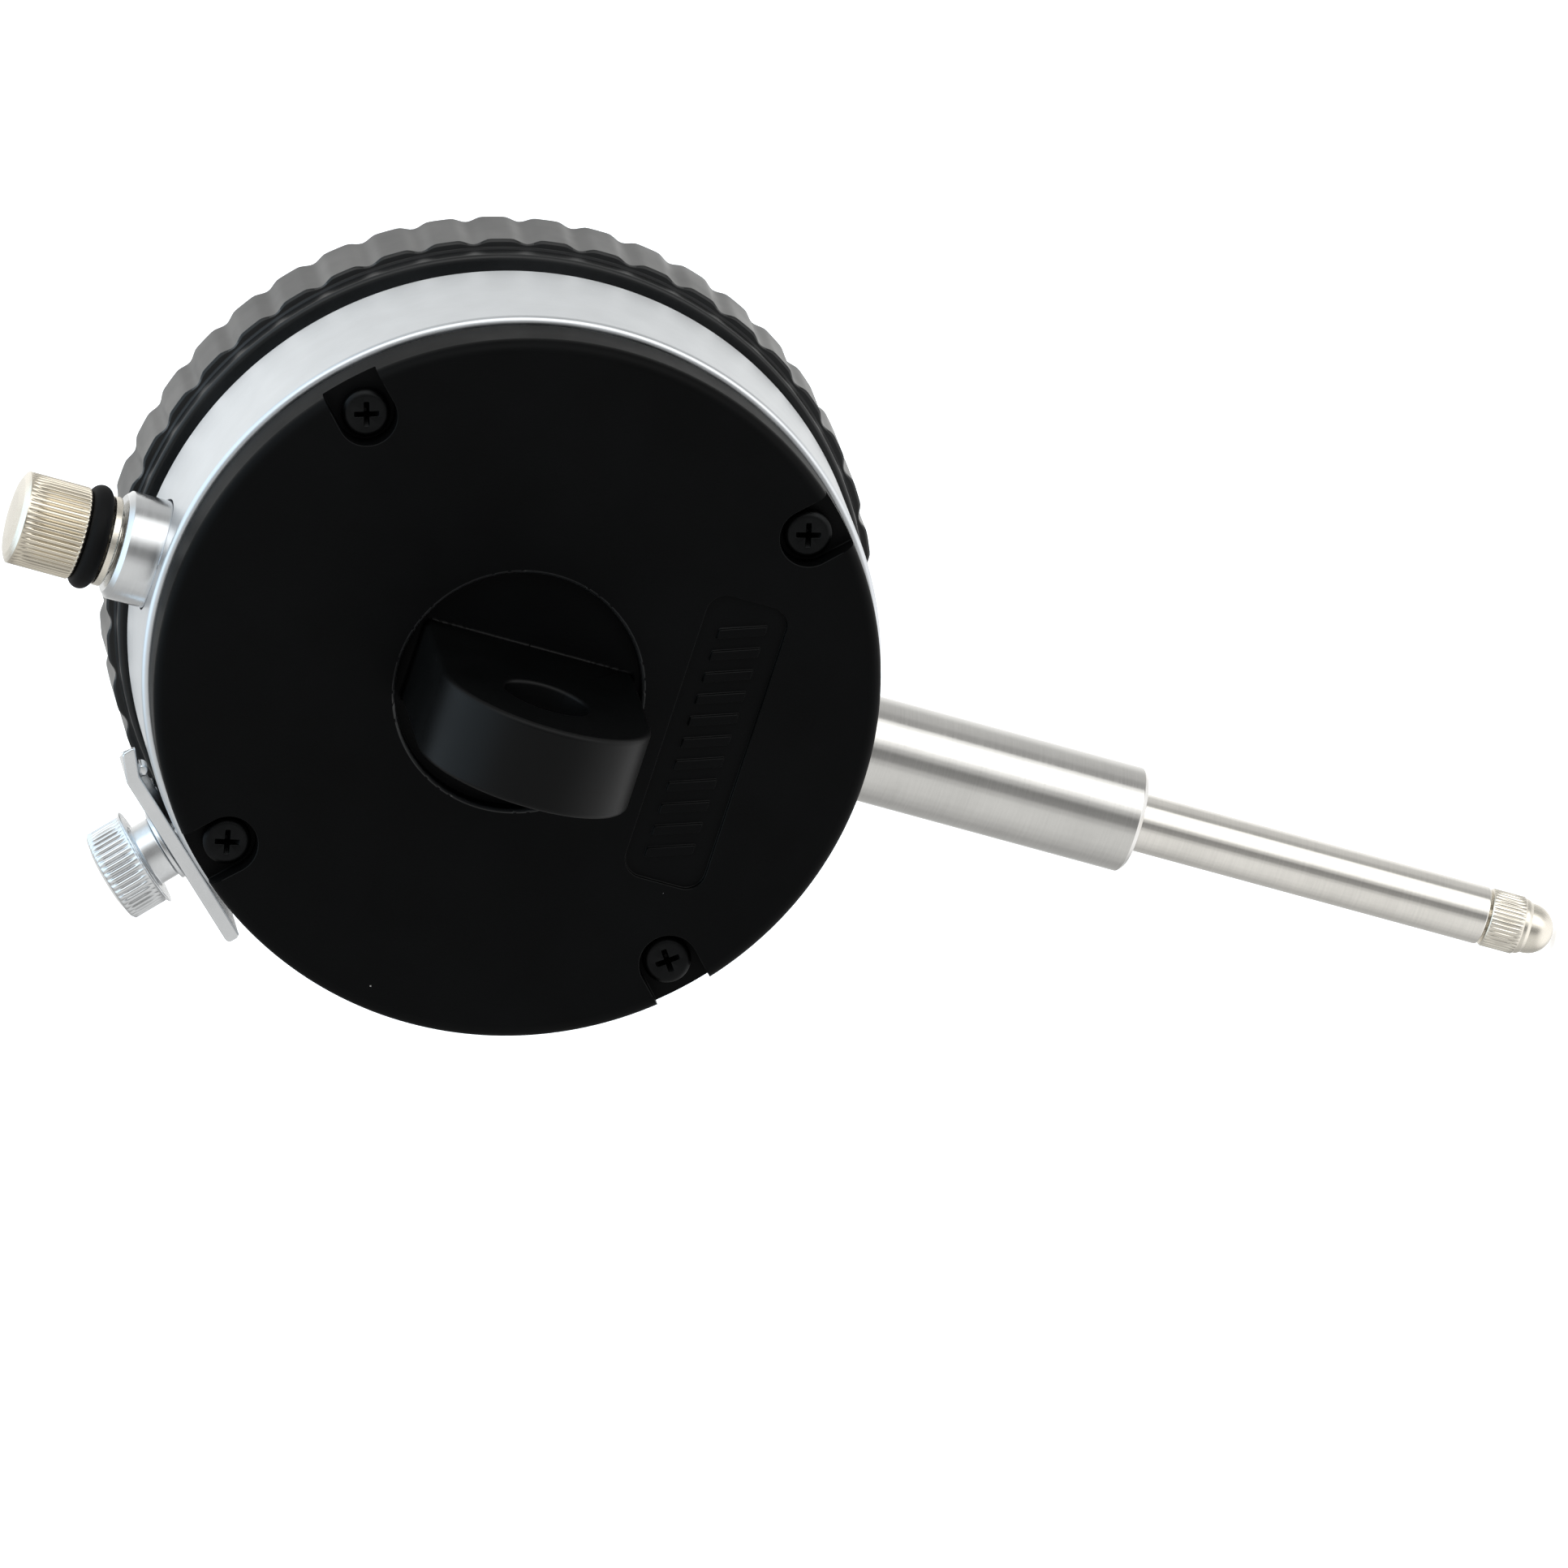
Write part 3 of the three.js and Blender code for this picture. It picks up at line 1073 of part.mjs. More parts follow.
const indicator = new THREE.Group();
indicator.add(
  makeCase(), makeCover(), ...makeCoverScrews(), makeStem(), makeTopBoss(), ...makeGuideBushes(),
  makeSpindle(), makeCap(), makeCapRing(), makeCapFlange(), makeContact(),
  piece('contact_ball', ballAt(BALL_R), nickel), makeGuidePin(),
  makeFrontPlate(), makeBridge(), ...makePillars(), ...makeMovementScrews(), makeCock(),
  ...makePivotBushes(),
  makeGuidePlate(), makeSpringPost(), makeReturnSpring(), makeHairspring(), makeHairspringStud(),
  makeCentreArbor(), makeRackArbor(), makeWheel('rack_wheel', rackAt, rackPhase),
  makeTakeUpArbor(), makeWheel('take_up_wheel', takeUpAt, takeUpPhase), makeCounterArbor(),
  makePointer(), makePointerHub(), makeCounterHand(), makeInnerDial(), ...makeDialScrews(),
  makeOuterDial(), makeLens(), makeDialSpacer(), makeBezel(), makeWireRing(), makeClamp(),
);

export default indicator;
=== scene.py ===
import math

import bmesh
import bpy
from mathutils import Matrix, Vector


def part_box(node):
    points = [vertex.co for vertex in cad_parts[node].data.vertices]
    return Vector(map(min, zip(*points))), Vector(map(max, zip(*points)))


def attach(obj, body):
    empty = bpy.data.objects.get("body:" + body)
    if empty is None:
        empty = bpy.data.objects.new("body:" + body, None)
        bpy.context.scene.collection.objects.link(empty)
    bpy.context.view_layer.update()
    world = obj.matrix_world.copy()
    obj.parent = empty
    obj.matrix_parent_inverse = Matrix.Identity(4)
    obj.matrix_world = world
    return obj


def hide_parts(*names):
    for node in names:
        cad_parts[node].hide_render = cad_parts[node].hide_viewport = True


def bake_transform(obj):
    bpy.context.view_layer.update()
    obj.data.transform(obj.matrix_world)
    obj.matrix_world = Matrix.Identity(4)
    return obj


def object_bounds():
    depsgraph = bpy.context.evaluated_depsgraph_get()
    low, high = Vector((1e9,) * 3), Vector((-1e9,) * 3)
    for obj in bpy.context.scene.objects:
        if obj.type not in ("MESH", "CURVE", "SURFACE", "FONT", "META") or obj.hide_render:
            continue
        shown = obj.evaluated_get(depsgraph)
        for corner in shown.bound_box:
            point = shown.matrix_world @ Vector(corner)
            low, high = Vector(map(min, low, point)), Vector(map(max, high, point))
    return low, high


# Looks of a 25 mm dial indicator with a lug back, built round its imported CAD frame. The spindle lies on Z
# with the contact point down. The dial's axis is Y and the dial faces -Y. Sizes are in millimetres, and
# mm() turns a point into the frame's metres.

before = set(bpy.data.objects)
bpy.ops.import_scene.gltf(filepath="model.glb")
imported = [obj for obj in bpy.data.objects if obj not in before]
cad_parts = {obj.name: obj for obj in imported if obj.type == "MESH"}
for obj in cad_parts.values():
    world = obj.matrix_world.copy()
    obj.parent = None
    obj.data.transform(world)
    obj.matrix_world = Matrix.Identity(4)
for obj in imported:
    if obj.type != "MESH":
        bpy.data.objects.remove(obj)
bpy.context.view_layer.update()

MM = 0.001
TAU = 2 * math.pi
# Sides of a turned piece, steps in a quarter of a fillet, and the gap to the loop that flanks a fillet.
TURN_STEPS = 192
ARC_STEPS = 4
SUPPORT = 0.04

CASE_R = 27.5
CASE_BORE_R = 25.7
CASE_SHOULDER_Y = -6.2
SPIGOT_R = 26.3
SPIGOT_BORE_R = 25.3
GROOVE_R = 25.75
GROOVE_REAR_Y = -8.7
GROOVE_FRONT_Y = -9.7
WEB_REAR_Y = -8.6
WEB_FRONT_Y = -9.6
WEB_HOLE_R = 15.0

COVER_R = 27.0
COVER_FACE_Y = 10.4
COVER_CAVITY_Y = 8.2
COVER_CAVITY_R = 21
COVER_FILLET = 0.9
ABOVE_COVER_Y = 13
INSIDE_RIM_R = 26
RECESS_R = 9.15
RECESS_Y = 9.0
RECESS_CHAMFER = 0.3
LUG_HALF = 3.175
LUG_R = 8.1
LUG_ROOT_DEPTH = 0.4
LUG_CENTRE_Y = 21.2
LUG_HOLE_R = 3.25
BADGE_Z = -14.6
BADGE_DEPTH = 0.35
BARS = 11
BAR_SPACING = 1.76
BAR_HALF_HEIGHT = 1.7
BAR_WIDTH = 0.75
BAR_SLANT = 1.2

SCREW_CIRCLE_R = 24.27
SCREW_HEAD_R = 1.8
SCREW_SHANK_R = 1.0
SCREW_TURNS = (-13, -18, -15, -37)
POCKET_R = 2.2
POCKET_FLOOR_Y = 8.6

STEM_R = 4.0
GUIDE_BORE_R = 3.0
GUIDE_LIP = 0.35
TOP_BOSS_R = 4.1
TOP_BOSS_CHAMFER = 0.4
SPINDLE_R = 2.2
SPINDLE_TOP_Z = 30.55
STUD_R = 1.0
RACK_PITCH = 0.625
RACK_TEETH = 46
RACK_FROM_X = -2.08
RACK_ROOT_X = -1.51

FLANGE_R = 3.4
RING_TUBE_R = 0.8
RING_CENTRE_R = 3.15
CAP_R = 3.5
CAP_NECK_R = 2.25
CAP_BODY_Z = 33.05
CAP_RIDGES = 52
CONTACT_R = 2.2
CONTACT_NOSE_R = 2.1
CONTACT_TOP_Z = -77.3
CONTACT_GRIP_Z = -79.85
CONTACT_RIDGES = 40
BALL_R = 1.9

BEZEL_R = 28.7
BEZEL_LIP_R = 28.0
BEZEL_ROOT_R = 28.14
BEZEL_SEAT_R = 26.6
FLUTES = 45
FLUTE_DEPTH = 0.36
FLUTE_ROOT_R = 28.12
LENS_R = 25.5
OUTER_DIAL_R = 26.4
OUTER_DIAL_BORE_R = 13.1
INNER_DIAL_R = 12.9
DIAL_SCREW_X = 9
COUNTER_AT = (0.0, -8.1565)

CLAMP_ANGLE = math.radians(42.1)
CLAMP_Y = -1.0
CLAMP_HOLE_R = 1.45
PLATE_FROM, PLATE_TO = 27.8, 28.9
PLATE_FRONT_Y, PLATE_REAR_Y = -4.5, 2.0
PLATE_LOW = -8.2
BEND_Z = 6.6
TAB_LENGTH = 2.3
TAB_ANGLE = math.radians(22)
HEEL_R = 0.45
WASHER_R = 2.8
KNOB_FROM, KNOB_TO = 30.9, 34.3
KNOB_GRIP_R = 3.58
KNOB_NECK_R = 2.4
KNOB_RIDGES = 44

SPRING_X = 5.9
SPRING_LOW_Z = -22.6
SPRING_HIGH_Z = -3.0
SPRING_COIL_R = 1.3
SPRING_WIRE_R = 0.18
SPRING_TURNS = 12


# ---- mesh building ----


def mm(x, y, z):
    return Vector((x, y, z)) * MM


def extent(node):
    """Lowest and highest corner of a CAD node, in millimetres."""
    low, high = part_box(node)
    return low / MM, high / MM


def named_object(name, bm, sharp=32):
    """An object from a bmesh, smooth except along edges sharper than the angle."""
    bmesh.ops.recalc_face_normals(bm, faces=bm.faces)
    mesh = bpy.data.meshes.new(name)
    bm.to_mesh(mesh)
    bm.free()
    mesh.shade_smooth()
    mesh.set_sharp_from_angle(angle=math.radians(sharp))
    made = bpy.data.objects.new(name, mesh)
    bpy.context.scene.collection.objects.link(made)
    return made


def settle(obj):
    """Applies the object's modifiers to its mesh."""
    graph = bpy.context.evaluated_depsgraph_get()
    mesh = bpy.data.meshes.new_from_object(obj.evaluated_get(graph))
    obj.modifiers.clear()
    old = obj.data
    obj.data = mesh
    bpy.data.meshes.remove(old)
    return obj


def soften(obj, width, segments=3, angle=32, share=None):
    """Rounds the sharp edges of a piece. share(middle) says what part of the width an edge gets."""
    bevel = obj.modifiers.new("round", "BEVEL")
    bevel.width = width * MM
    bevel.segments = segments
    if share:
        bevel.limit_method = "WEIGHT"
        weigh_edges(obj, math.radians(angle), share)
    else:
        bevel.limit_method = "ANGLE"
        bevel.angle_limit = math.radians(angle)
    bevel.use_clamp_overlap = False
    bevel.miter_outer = "MITER_ARC"
    settle(obj)
    obj.data.shade_smooth()
    obj.data.set_sharp_from_angle(angle=math.radians(60))
    weigh = obj.modifiers.new("weigh", "WEIGHTED_NORMAL")
    weigh.keep_sharp = True
    return settle(obj)


def weigh_edges(obj, angle, share):
    """Gives each edge sharper than the angle the bevel weight share(middle)."""
    bm = bmesh.new()
    bm.from_mesh(obj.data)
    weights = bm.edges.layers.float.new("bevel_weight_edge")
    for edge in bm.edges:
        middle = (edge.verts[0].co + edge.verts[1].co) / (2 * MM)
        if len(edge.link_faces) == 2 and edge.calc_face_angle(0) > angle:
            edge[weights] = share(middle)
    bm.to_mesh(obj.data)
    bm.free()


def boolean(body, operation, *tools):
    for tool in tools:
        change = body.modifiers.new(operation, "BOOLEAN")
        change.operation = operation
        change.solver = "EXACT"
        change.object = tool
        settle(body)
        bpy.data.objects.remove(tool)
    body.data.shade_smooth()
    return body


def skin(name, rings, closed=False, caps=(None, None), sharp=32):
    """A surface over rings that have the same number of points. A cap is the point a ring closes on."""
    bm = bmesh.new()
    rows = [[bm.verts.new(point) for point in ring] for ring in rings]
    pairs = list(zip(rows, rows[1:]))
    if closed:
        pairs.append((rows[-1], rows[0]))
    count = len(rows[0])
    for first, second in pairs:
        for i in range(count):
            j = (i + 1) % count
            bm.faces.new((first[i], first[j], second[j], second[i]))
    for row, cap in ((rows[0], caps[0]), (rows[-1], caps[1])):
        if cap is not None:
            hub = bm.verts.new(cap)
            for i in range(count):
                bm.faces.new((row[i], row[(i + 1) % count], hub))
    return named_object(name, bm, sharp)


def rounded(corners, closed):
    """A profile with its corners filleted. A corner is (radius, height) or (radius, height, fillet)."""
    points = []
    count = len(corners)
    for i, corner in enumerate(corners):
        here = Vector(corner[:2])
        fillet = corner[2] if len(corner) > 2 else 0
        at_end = not closed and i in (0, count - 1)
        if fillet == 0 or at_end:
            points.append(here)
            continue
        before = Vector(corners[i - 1][:2]) - here
        after = Vector(corners[(i + 1) % count][:2]) - here
        u, v = before.normalized(), after.normalized()
        half = u.angle(v) / 2
        trim = min(fillet / math.tan(half), 0.45 * before.length, 0.45 * after.length)
        radius = trim * math.tan(half)
        middle = here + (u + v).normalized() * radius / math.sin(half)
        spread = math.pi - 2 * half
        start = here + u * trim - middle
        end = here + v * trim - middle
        turn = 1 if start.x * end.y - start.y * end.x > 0 else -1
        if trim + SUPPORT < 0.5 * before.length:
            points.append(here + u * (trim + SUPPORT))
        steps = max(2, round(ARC_STEPS * spread / (math.pi / 2)))
        for k in range(steps + 1):
            points.append(middle + Matrix.Rotation(turn * spread * k / steps, 2) @ start)
        if trim + SUPPORT < 0.5 * after.length:
            points.append(here + v * (trim + SUPPORT))
    return points


def on_axis(axis, radius, height, angle, centre):
    """The point of a turned piece at that angle round its axis."""
    u = centre[0] + radius * math.cos(angle)
    v = centre[1] + radius * math.sin(angle)
    return {"x": mm(height, u, v), "y": mm(u, height, v), "z": mm(u, v, height)}[axis]


def turned(name, corners, axis, steps=TURN_STEPS, centre=(0, 0), relief=None, sharp=32):
    """A turned piece. relief(angle, radius, height) gives the radius of a fluted or knurled surface."""
    solid = corners[0][0] == 0
    profile = rounded(corners, not solid)
    inner = profile[1:-1] if solid else profile
    rings = []
    for radius, height in inner:
        ring = []
        for k in range(steps):
            angle = TAU * k / steps
            reach = relief(angle, radius, height) if relief else radius
            ring.append(on_axis(axis, reach, height, angle, centre))
        rings.append(ring)
    if not solid:
        return skin(name, rings, closed=True, sharp=sharp)
    ends = [on_axis(axis, 0, profile[i].y, 0, centre) for i in (0, -1)]
    return skin(name, rings, caps=ends, sharp=sharp)


def slab(name, outline, low, high, place):
    """An outline of (u, v) points made solid from low to high. place(u, v, w) gives each corner."""
    bm = bmesh.new()
    levels = [[bm.verts.new(place(u, v, w)) for u, v in outline] for w in (low, high)]
    count = len(outline)
    bm.faces.new(levels[0])
    bm.faces.new(list(reversed(levels[1])))
    for i in range(count):
        j = (i + 1) % count
        bm.faces.new((levels[0][i], levels[0][j], levels[1][j], levels[1][i]))
    return named_object(name, bm)


def along_y(u, v, w):
    return mm(u, w, v)


def along_x(u, v, w):
    return mm(w, u, v)


def arc(centre, radius, start, end, steps):
    """Points on a circle, with the angles in degrees."""
    made = []
    for k in range(steps + 1):
        angle = math.radians(start + (end - start) * k / steps)
        made.append((centre[0] + radius * math.cos(angle), centre[1] + radius * math.sin(angle)))
    return made


def rounded_box(half_u, half_v, corner, centre=(0, 0), steps=8):
    points = []
    for su, sv, start in ((1, 1, 0), (-1, 1, 90), (-1, -1, 180), (1, -1, 270)):
        middle = (centre[0] + su * (half_u - corner), centre[1] + sv * (half_v - corner))
        points += arc(middle, corner, start, start + 90, steps)
    return points


def merged(name, *parts):
    """One object from several separate meshes."""
    bm = bmesh.new()
    for part in parts:
        bm.from_mesh(part.data)
        old = part.data
        bpy.data.objects.remove(part)
        bpy.data.meshes.remove(old)
    return named_object(name, bm)


# ---- materials ----


# Places of the colour sockets on a Mix node.
MIX_A, MIX_B, MIX_RESULT = 6, 7, 2


class Paint:
    """A material with one Principled shader and helpers that add the nodes behind it."""

    def __init__(self, name, roughness, metallic=0.0, specular=0.5):
        self.material = bpy.data.materials.new(name)
        self.material.use_nodes = True
        self.nodes = self.material.node_tree.nodes
        self.links = self.material.node_tree.links
        self.shader = self.nodes["Principled BSDF"]
        self.shader.inputs["Roughness"].default_value = roughness
        self.shader.inputs["Metallic"].default_value = metallic
        self.shader.inputs["Specular IOR Level"].default_value = specular
        self.coordinates = self.nodes.new("ShaderNodeTexCoord").outputs["Object"]

    def link(self, output, node, socket):
        self.links.new(output, node.inputs[socket])
        return node

    def noise(self, scale, stretch=(1, 1, 1), detail=3.0, rough=0.55):
        """Noise whose scale is in features per metre, stretched along the axes."""
        place = self.nodes.new("ShaderNodeMapping")
        place.inputs["Scale"].default_value = stretch
        self.link(self.coordinates, place, "Vector")
        texture = self.nodes.new("ShaderNodeTexNoise")
        texture.inputs["Scale"].default_value = scale
        texture.inputs["Detail"].default_value = detail
        texture.inputs["Roughness"].default_value = rough
        self.link(place.outputs["Vector"], texture, "Vector")
        return texture.outputs["Fac"]

    def ramp(self, factor, stops):
        """Colours or grey levels along a factor, as [(place, colour)]."""
        node = self.nodes.new("ShaderNodeValToRGB")
        elements = node.color_ramp.elements
        for k, (place, colour) in enumerate(stops):
            element = elements[k] if k < 2 else elements.new(place)
            element.position = place
            level = colour if isinstance(colour, tuple) else (colour,) * 3
            element.color = (*level, 1)
        self.link(factor, node, "Fac")
        return node.outputs["Color"]

    def colour(self, output):
        self.link(output, self.shader, "Base Color")
        return self

    def roughness(self, factor, low, high):
        node = self.nodes.new("ShaderNodeMapRange")
        node.inputs["From Min"].default_value = 0.3
        node.inputs["From Max"].default_value = 0.7
        node.inputs["To Min"].default_value = low
        node.inputs["To Max"].default_value = high
        self.link(factor, node, "Value")
        self.link(node.outputs["Result"], self.shader, "Roughness")
        return self

    def bump(self, height, strength, depth):
        """Gives the surface a relief of that depth in millimetres."""
        node = self.nodes.new("ShaderNodeBump")
        node.inputs["Strength"].default_value = strength
        node.inputs["Distance"].default_value = depth * MM
        self.link(height, node, "Height")
        self.link(node.outputs["Normal"], self.shader, "Normal")
        return self

    def multiply(self, first, second):
        node = self.nodes.new("ShaderNodeMix")
        node.data_type = "RGBA"
        node.blend_type = "MULTIPLY"
        node.inputs["Factor"].default_value = 1.0
        self.links.new(first, node.inputs[MIX_A])
        self.links.new(second, node.inputs[MIX_B])
        return node.outputs[MIX_RESULT]

    def specks(self, scale, size):
        """1 inside small scattered specks and 0 elsewhere."""
        cells = self.nodes.new("ShaderNodeTexVoronoi")
        cells.inputs["Scale"].default_value = scale
        self.link(self.coordinates, cells, "Vector")
        near = self.nodes.new("ShaderNodeMath")
        near.operation = "LESS_THAN"
        near.inputs[1].default_value = size
        self.link(cells.outputs["Distance"], near, 0)
        return near.outputs["Value"]


def tinted(colour, share):
    return tuple(channel * share for channel in colour)


def metal(name, colour, roughness, spread, lines, line_scale, line_depth, mottle):
    """Metal with a soft mottle and fine tool lines. lines is small along the lines' direction."""
    paint = Paint(name, roughness, metallic=1.0)
    cloud = paint.noise(320, detail=4)
    grain = paint.noise(line_scale, stretch=lines, detail=3)
    base = paint.ramp(cloud, [(0.3, tinted(colour, 1 - mottle)), (0.7, tinted(colour, 1 + mottle))])
    fine = paint.ramp(grain, [(0.25, 0.93), (0.75, 1.0)])
    paint.colour(paint.multiply(base, fine))
    paint.roughness(grain, max(roughness - spread, 0.03), roughness + spread)
    return paint.bump(grain, 0.6, line_depth).material


def plastic(name, colour, roughness, spread, grain_scale, grain_depth, specular, dust=0.0, mottle=0.22):
    """Plastic, paint or enamel with a fine grain. dust is the size of its specks, and 0 leaves them out."""
    paint = Paint(name, roughness, specular=specular)
    cloud = paint.noise(150, detail=5)
    grain = paint.noise(grain_scale, detail=2, rough=0.7)
    colours = paint.ramp(cloud, [(0.3, tinted(colour, 1 - mottle)), (0.72, tinted(colour, 1 + mottle))])
    if dust:
        speck = paint.specks(170, dust)
        node = paint.nodes.new("ShaderNodeMix")
        node.data_type = "RGBA"
        node.inputs[MIX_B].default_value = (0.22, 0.21, 0.2, 1)
        paint.links.new(speck, node.inputs["Factor"])
        paint.links.new(colours, node.inputs[MIX_A])
        colours = node.outputs[MIX_RESULT]
    paint.colour(colours)
    paint.roughness(cloud, roughness - spread, roughness + spread)
    return paint.bump(grain, 0.5, grain_depth).material


def glass_material():
    """Clear acrylic that lets the lamps through to the dial."""
    paint = Paint("lens_acrylic", 0.02, specular=0.5)
    paint.shader.inputs["Transmission Weight"].default_value = 1.0
    paint.shader.inputs["IOR"].default_value = 1.49
    haze = paint.noise(260, detail=4)
    paint.colour(paint.ramp(haze, [(0.3, (0.96, 0.98, 0.98)), (0.7, (0.99, 1.0, 1.0))]))
    paint.roughness(haze, 0.01, 0.035)
    clear = paint.nodes.new("ShaderNodeBsdfTransparent")
    clear.inputs["Color"].default_value = (0.93, 0.95, 0.95, 1)
    path = paint.nodes.new("ShaderNodeLightPath")
    mix = paint.nodes.new("ShaderNodeMixShader")
    paint.links.new(path.outputs["Is Shadow Ray"], mix.inputs[0])
    paint.links.new(paint.shader.outputs[0], mix.inputs[1])
    paint.links.new(clear.outputs[0], mix.inputs[2])
    paint.links.new(mix.outputs[0], paint.nodes["Material Output"].inputs["Surface"])
    return paint.material


# Noise stretched into lines round an axis or along it, and not stretched.
ROUND_Y = (0.03, 1, 0.03)
ROUND_Z = (0.03, 0.03, 1)
ALONG_Z = (1, 1, 0.03)
EVEN = (1, 1, 1)

looks = {
    "case_silver": metal("satin_chrome", (0.70, 0.725, 0.75), 0.36, 0.05, ROUND_Y, 9000, 0.0012, 0.03),
    "boss_silver": metal("turned_chrome", (0.74, 0.755, 0.77), 0.2, 0.04, ROUND_Z, 9000, 0.0006, 0.03),
    "black_plastic": plastic("cover_plastic", (0.0015, 0.0016, 0.0017), 0.5, 0.05, 9000, 0.0025, 0.06, 0.012),
    "cover_edge": plastic("cover_plastic_edge", (0.0015, 0.0016, 0.0017), 0.4, 0.05, 9000, 0.0012, 0.13),
    # Lighter, glossier plastic for the lug recess rim: a painted highlight line round the recess.
    "rim_painted_highlight": plastic("rim_highlight_painted_plastic", (0.0085, 0.0088, 0.009), 0.3, 0.05, 9000, 0.0012, 0.6),
    "black_bezel": plastic("bezel_plastic", (0.007, 0.0073, 0.0076), 0.34, 0.06, 5200, 0.002, 0.3),
    # Lighter, glossier plastic for the fluted grip: painted light, as if light from above fell on the flutes.
    "bezel_grip": plastic("painted_lighter_grip_plastic", (0.009, 0.0093, 0.0096), 0.34, 0.06, 5200, 0.002, 0.72),
    "black_screw": metal("black_oxide", (0.0135, 0.014, 0.0145), 0.4, 0.08, EVEN, 7000, 0.003, 0.2),
    "polished_steel": metal("ground_steel", (0.72, 0.71, 0.69), 0.12, 0.05, ROUND_Z, 8000, 0.001, 0.04),
    "spindle_steel": metal("lapped_steel", (0.90, 0.875, 0.83), 0.1, 0.04, ROUND_Z, 8000, 0.0006, 0.04),
    "clamp_silver": metal("bright_plate", (0.76, 0.775, 0.79), 0.22, 0.04, EVEN, 2600, 0.0008, 0.05),
    "nickel": metal("warm_nickel", (0.86, 0.815, 0.725), 0.27, 0.06, ALONG_Z, 6000, 0.0006, 0.06),
    # A darker, warmer nickel for the knurled sides of the lifting cap.
    "knurl_dark_nickel": metal("knurl_dark_nickel", (0.73, 0.67, 0.56), 0.27, 0.06, ALONG_Z, 6000, 0.0006, 0.06),
    "rubber": plastic("black_rubber", (0.0025, 0.0025, 0.0027), 0.62, 0.08, 7000, 0.004, 0.12),
    "brass": metal("turned_brass", (0.72, 0.53, 0.26), 0.3, 0.08, EVEN, 5000, 0.002, 0.08),
    "bronze": metal("bearing_bronze", (0.55, 0.37, 0.2), 0.36, 0.08, ROUND_Z, 6000, 0.002, 0.1),
    "steel": metal("turned_steel", (0.45, 0.46, 0.48), 0.3, 0.08, ROUND_Y, 6000, 0.002, 0.08),
    "blue_steel": metal("blued_spring", (0.07, 0.13, 0.36), 0.25, 0.08, ROUND_Y, 6000, 0.001, 0.15),
    "ruby": plastic("ruby_stone", (0.42, 0.015, 0.05), 0.12, 0.05, 900, 0.001, 0.7),
    "dial": plastic("dial_enamel", (0.80, 0.80, 0.775), 0.5, 0.03, 6000, 0.001, 0.4, 0.0, 0.012),
    "pointer": plastic("pointer_paint", (0.008, 0.008, 0.008), 0.42, 0.06, 6000, 0.001, 0.45),
    "print": plastic("dial_ink", (0.012, 0.012, 0.013), 0.6, 0.08, 7000, 0.0005, 0.35),
    "glass": glass_material(),
}


def place(obj, body, look, *nodes):
    """Gives a piece its material and its body, and hides the CAD nodes it stands for."""
    obj.data.materials.clear()
    obj.data.materials.append(looks[look])
    if nodes:
        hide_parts(*nodes)
    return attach(obj, body) if body else obj


# ---- camera: the indicator is seen from behind, lying on its side ----

camera = bpy.data.objects.new("camera", bpy.data.cameras.new("camera"))
bpy.context.scene.collection.objects.link(camera)
bpy.context.scene.camera = camera
camera.data.sensor_width = 36
camera.data.lens = 591.06
camera.data.clip_start = 0.05
camera.data.clip_end = 60
look_right = Vector((-0.3039, 0.1143, -0.9458)).normalized()
look_back = Vector((-0.2619, 0.9445, 0.1983)).normalized()
look_up = look_back.cross(look_right).normalized()
look_right = look_up.cross(look_back)
turn = Matrix((look_right, look_up, look_back)).transposed()
camera.matrix_world = Matrix.Translation((-0.4969, 1.8077, 0.3562)) @ turn.to_4x4()


# ---- case, stem and top boss ----


def drill(radius, low, high, axis, steps, centre=(0, 0)):
    """A plain round cutter."""
    return turned("cutter", [(0, low), (radius, low), (radius, high), (0, high)], axis, steps, centre)


case_low, case_high = extent("case")
case_shell = turned("case_shell", [
    (CASE_BORE_R, case_high.y, 0.12), (CASE_R, case_high.y, 0.45),
    (CASE_R, CASE_SHOULDER_Y, 0.25), (SPIGOT_R, CASE_SHOULDER_Y),
    (SPIGOT_R, GROOVE_REAR_Y), (GROOVE_R, GROOVE_REAR_Y),
    (GROOVE_R, GROOVE_FRONT_Y), (SPIGOT_R, GROOVE_FRONT_Y),
    (SPIGOT_R, case_low.y, 0.2), (SPIGOT_BORE_R, case_low.y, 0.2),
    (SPIGOT_BORE_R, WEB_FRONT_Y), (WEB_HOLE_R, WEB_FRONT_Y, 0.15),
    (WEB_HOLE_R, WEB_REAR_Y, 0.15), (CASE_BORE_R, WEB_REAR_Y),
], "y", 288)
stem_hole = drill(STEM_R + 0.12, -31, -20, "z", 64)
boss_hole = drill(TOP_BOSS_R + 0.12, 20, 31, "z", 64)
clamp_hole = drill(CLAMP_HOLE_R, 24, 30, "x", 48, (CLAMP_Y, 0))
clamp_turn = Matrix.Rotation(-CLAMP_ANGLE, 4, "Y")
clamp_hole.data.transform(clamp_turn)
boolean(case_shell, "DIFFERENCE", stem_hole, boss_hole, clamp_hole)
soften(case_shell, 0.08, 2, 50)
place(case_shell, "housing", "case_silver", "case")

stem_low, stem_high = extent("stem")
stem_lip = stem_low.z + GUIDE_LIP
stem_tube = turned("stem_tube", [
    (GUIDE_BORE_R, stem_high.z), (STEM_R, stem_high.z, 0.1), (STEM_R, stem_lip, 0.12),
    (STEM_R - 0.35, stem_low.z, 0.12), (2.55, stem_low.z, 0.12), (2.4, stem_low.z + 0.15, 0.05),
    (2.4, stem_lip), (GUIDE_BORE_R, stem_lip),
], "z")
place(stem_tube, "housing", "polished_steel", "stem")

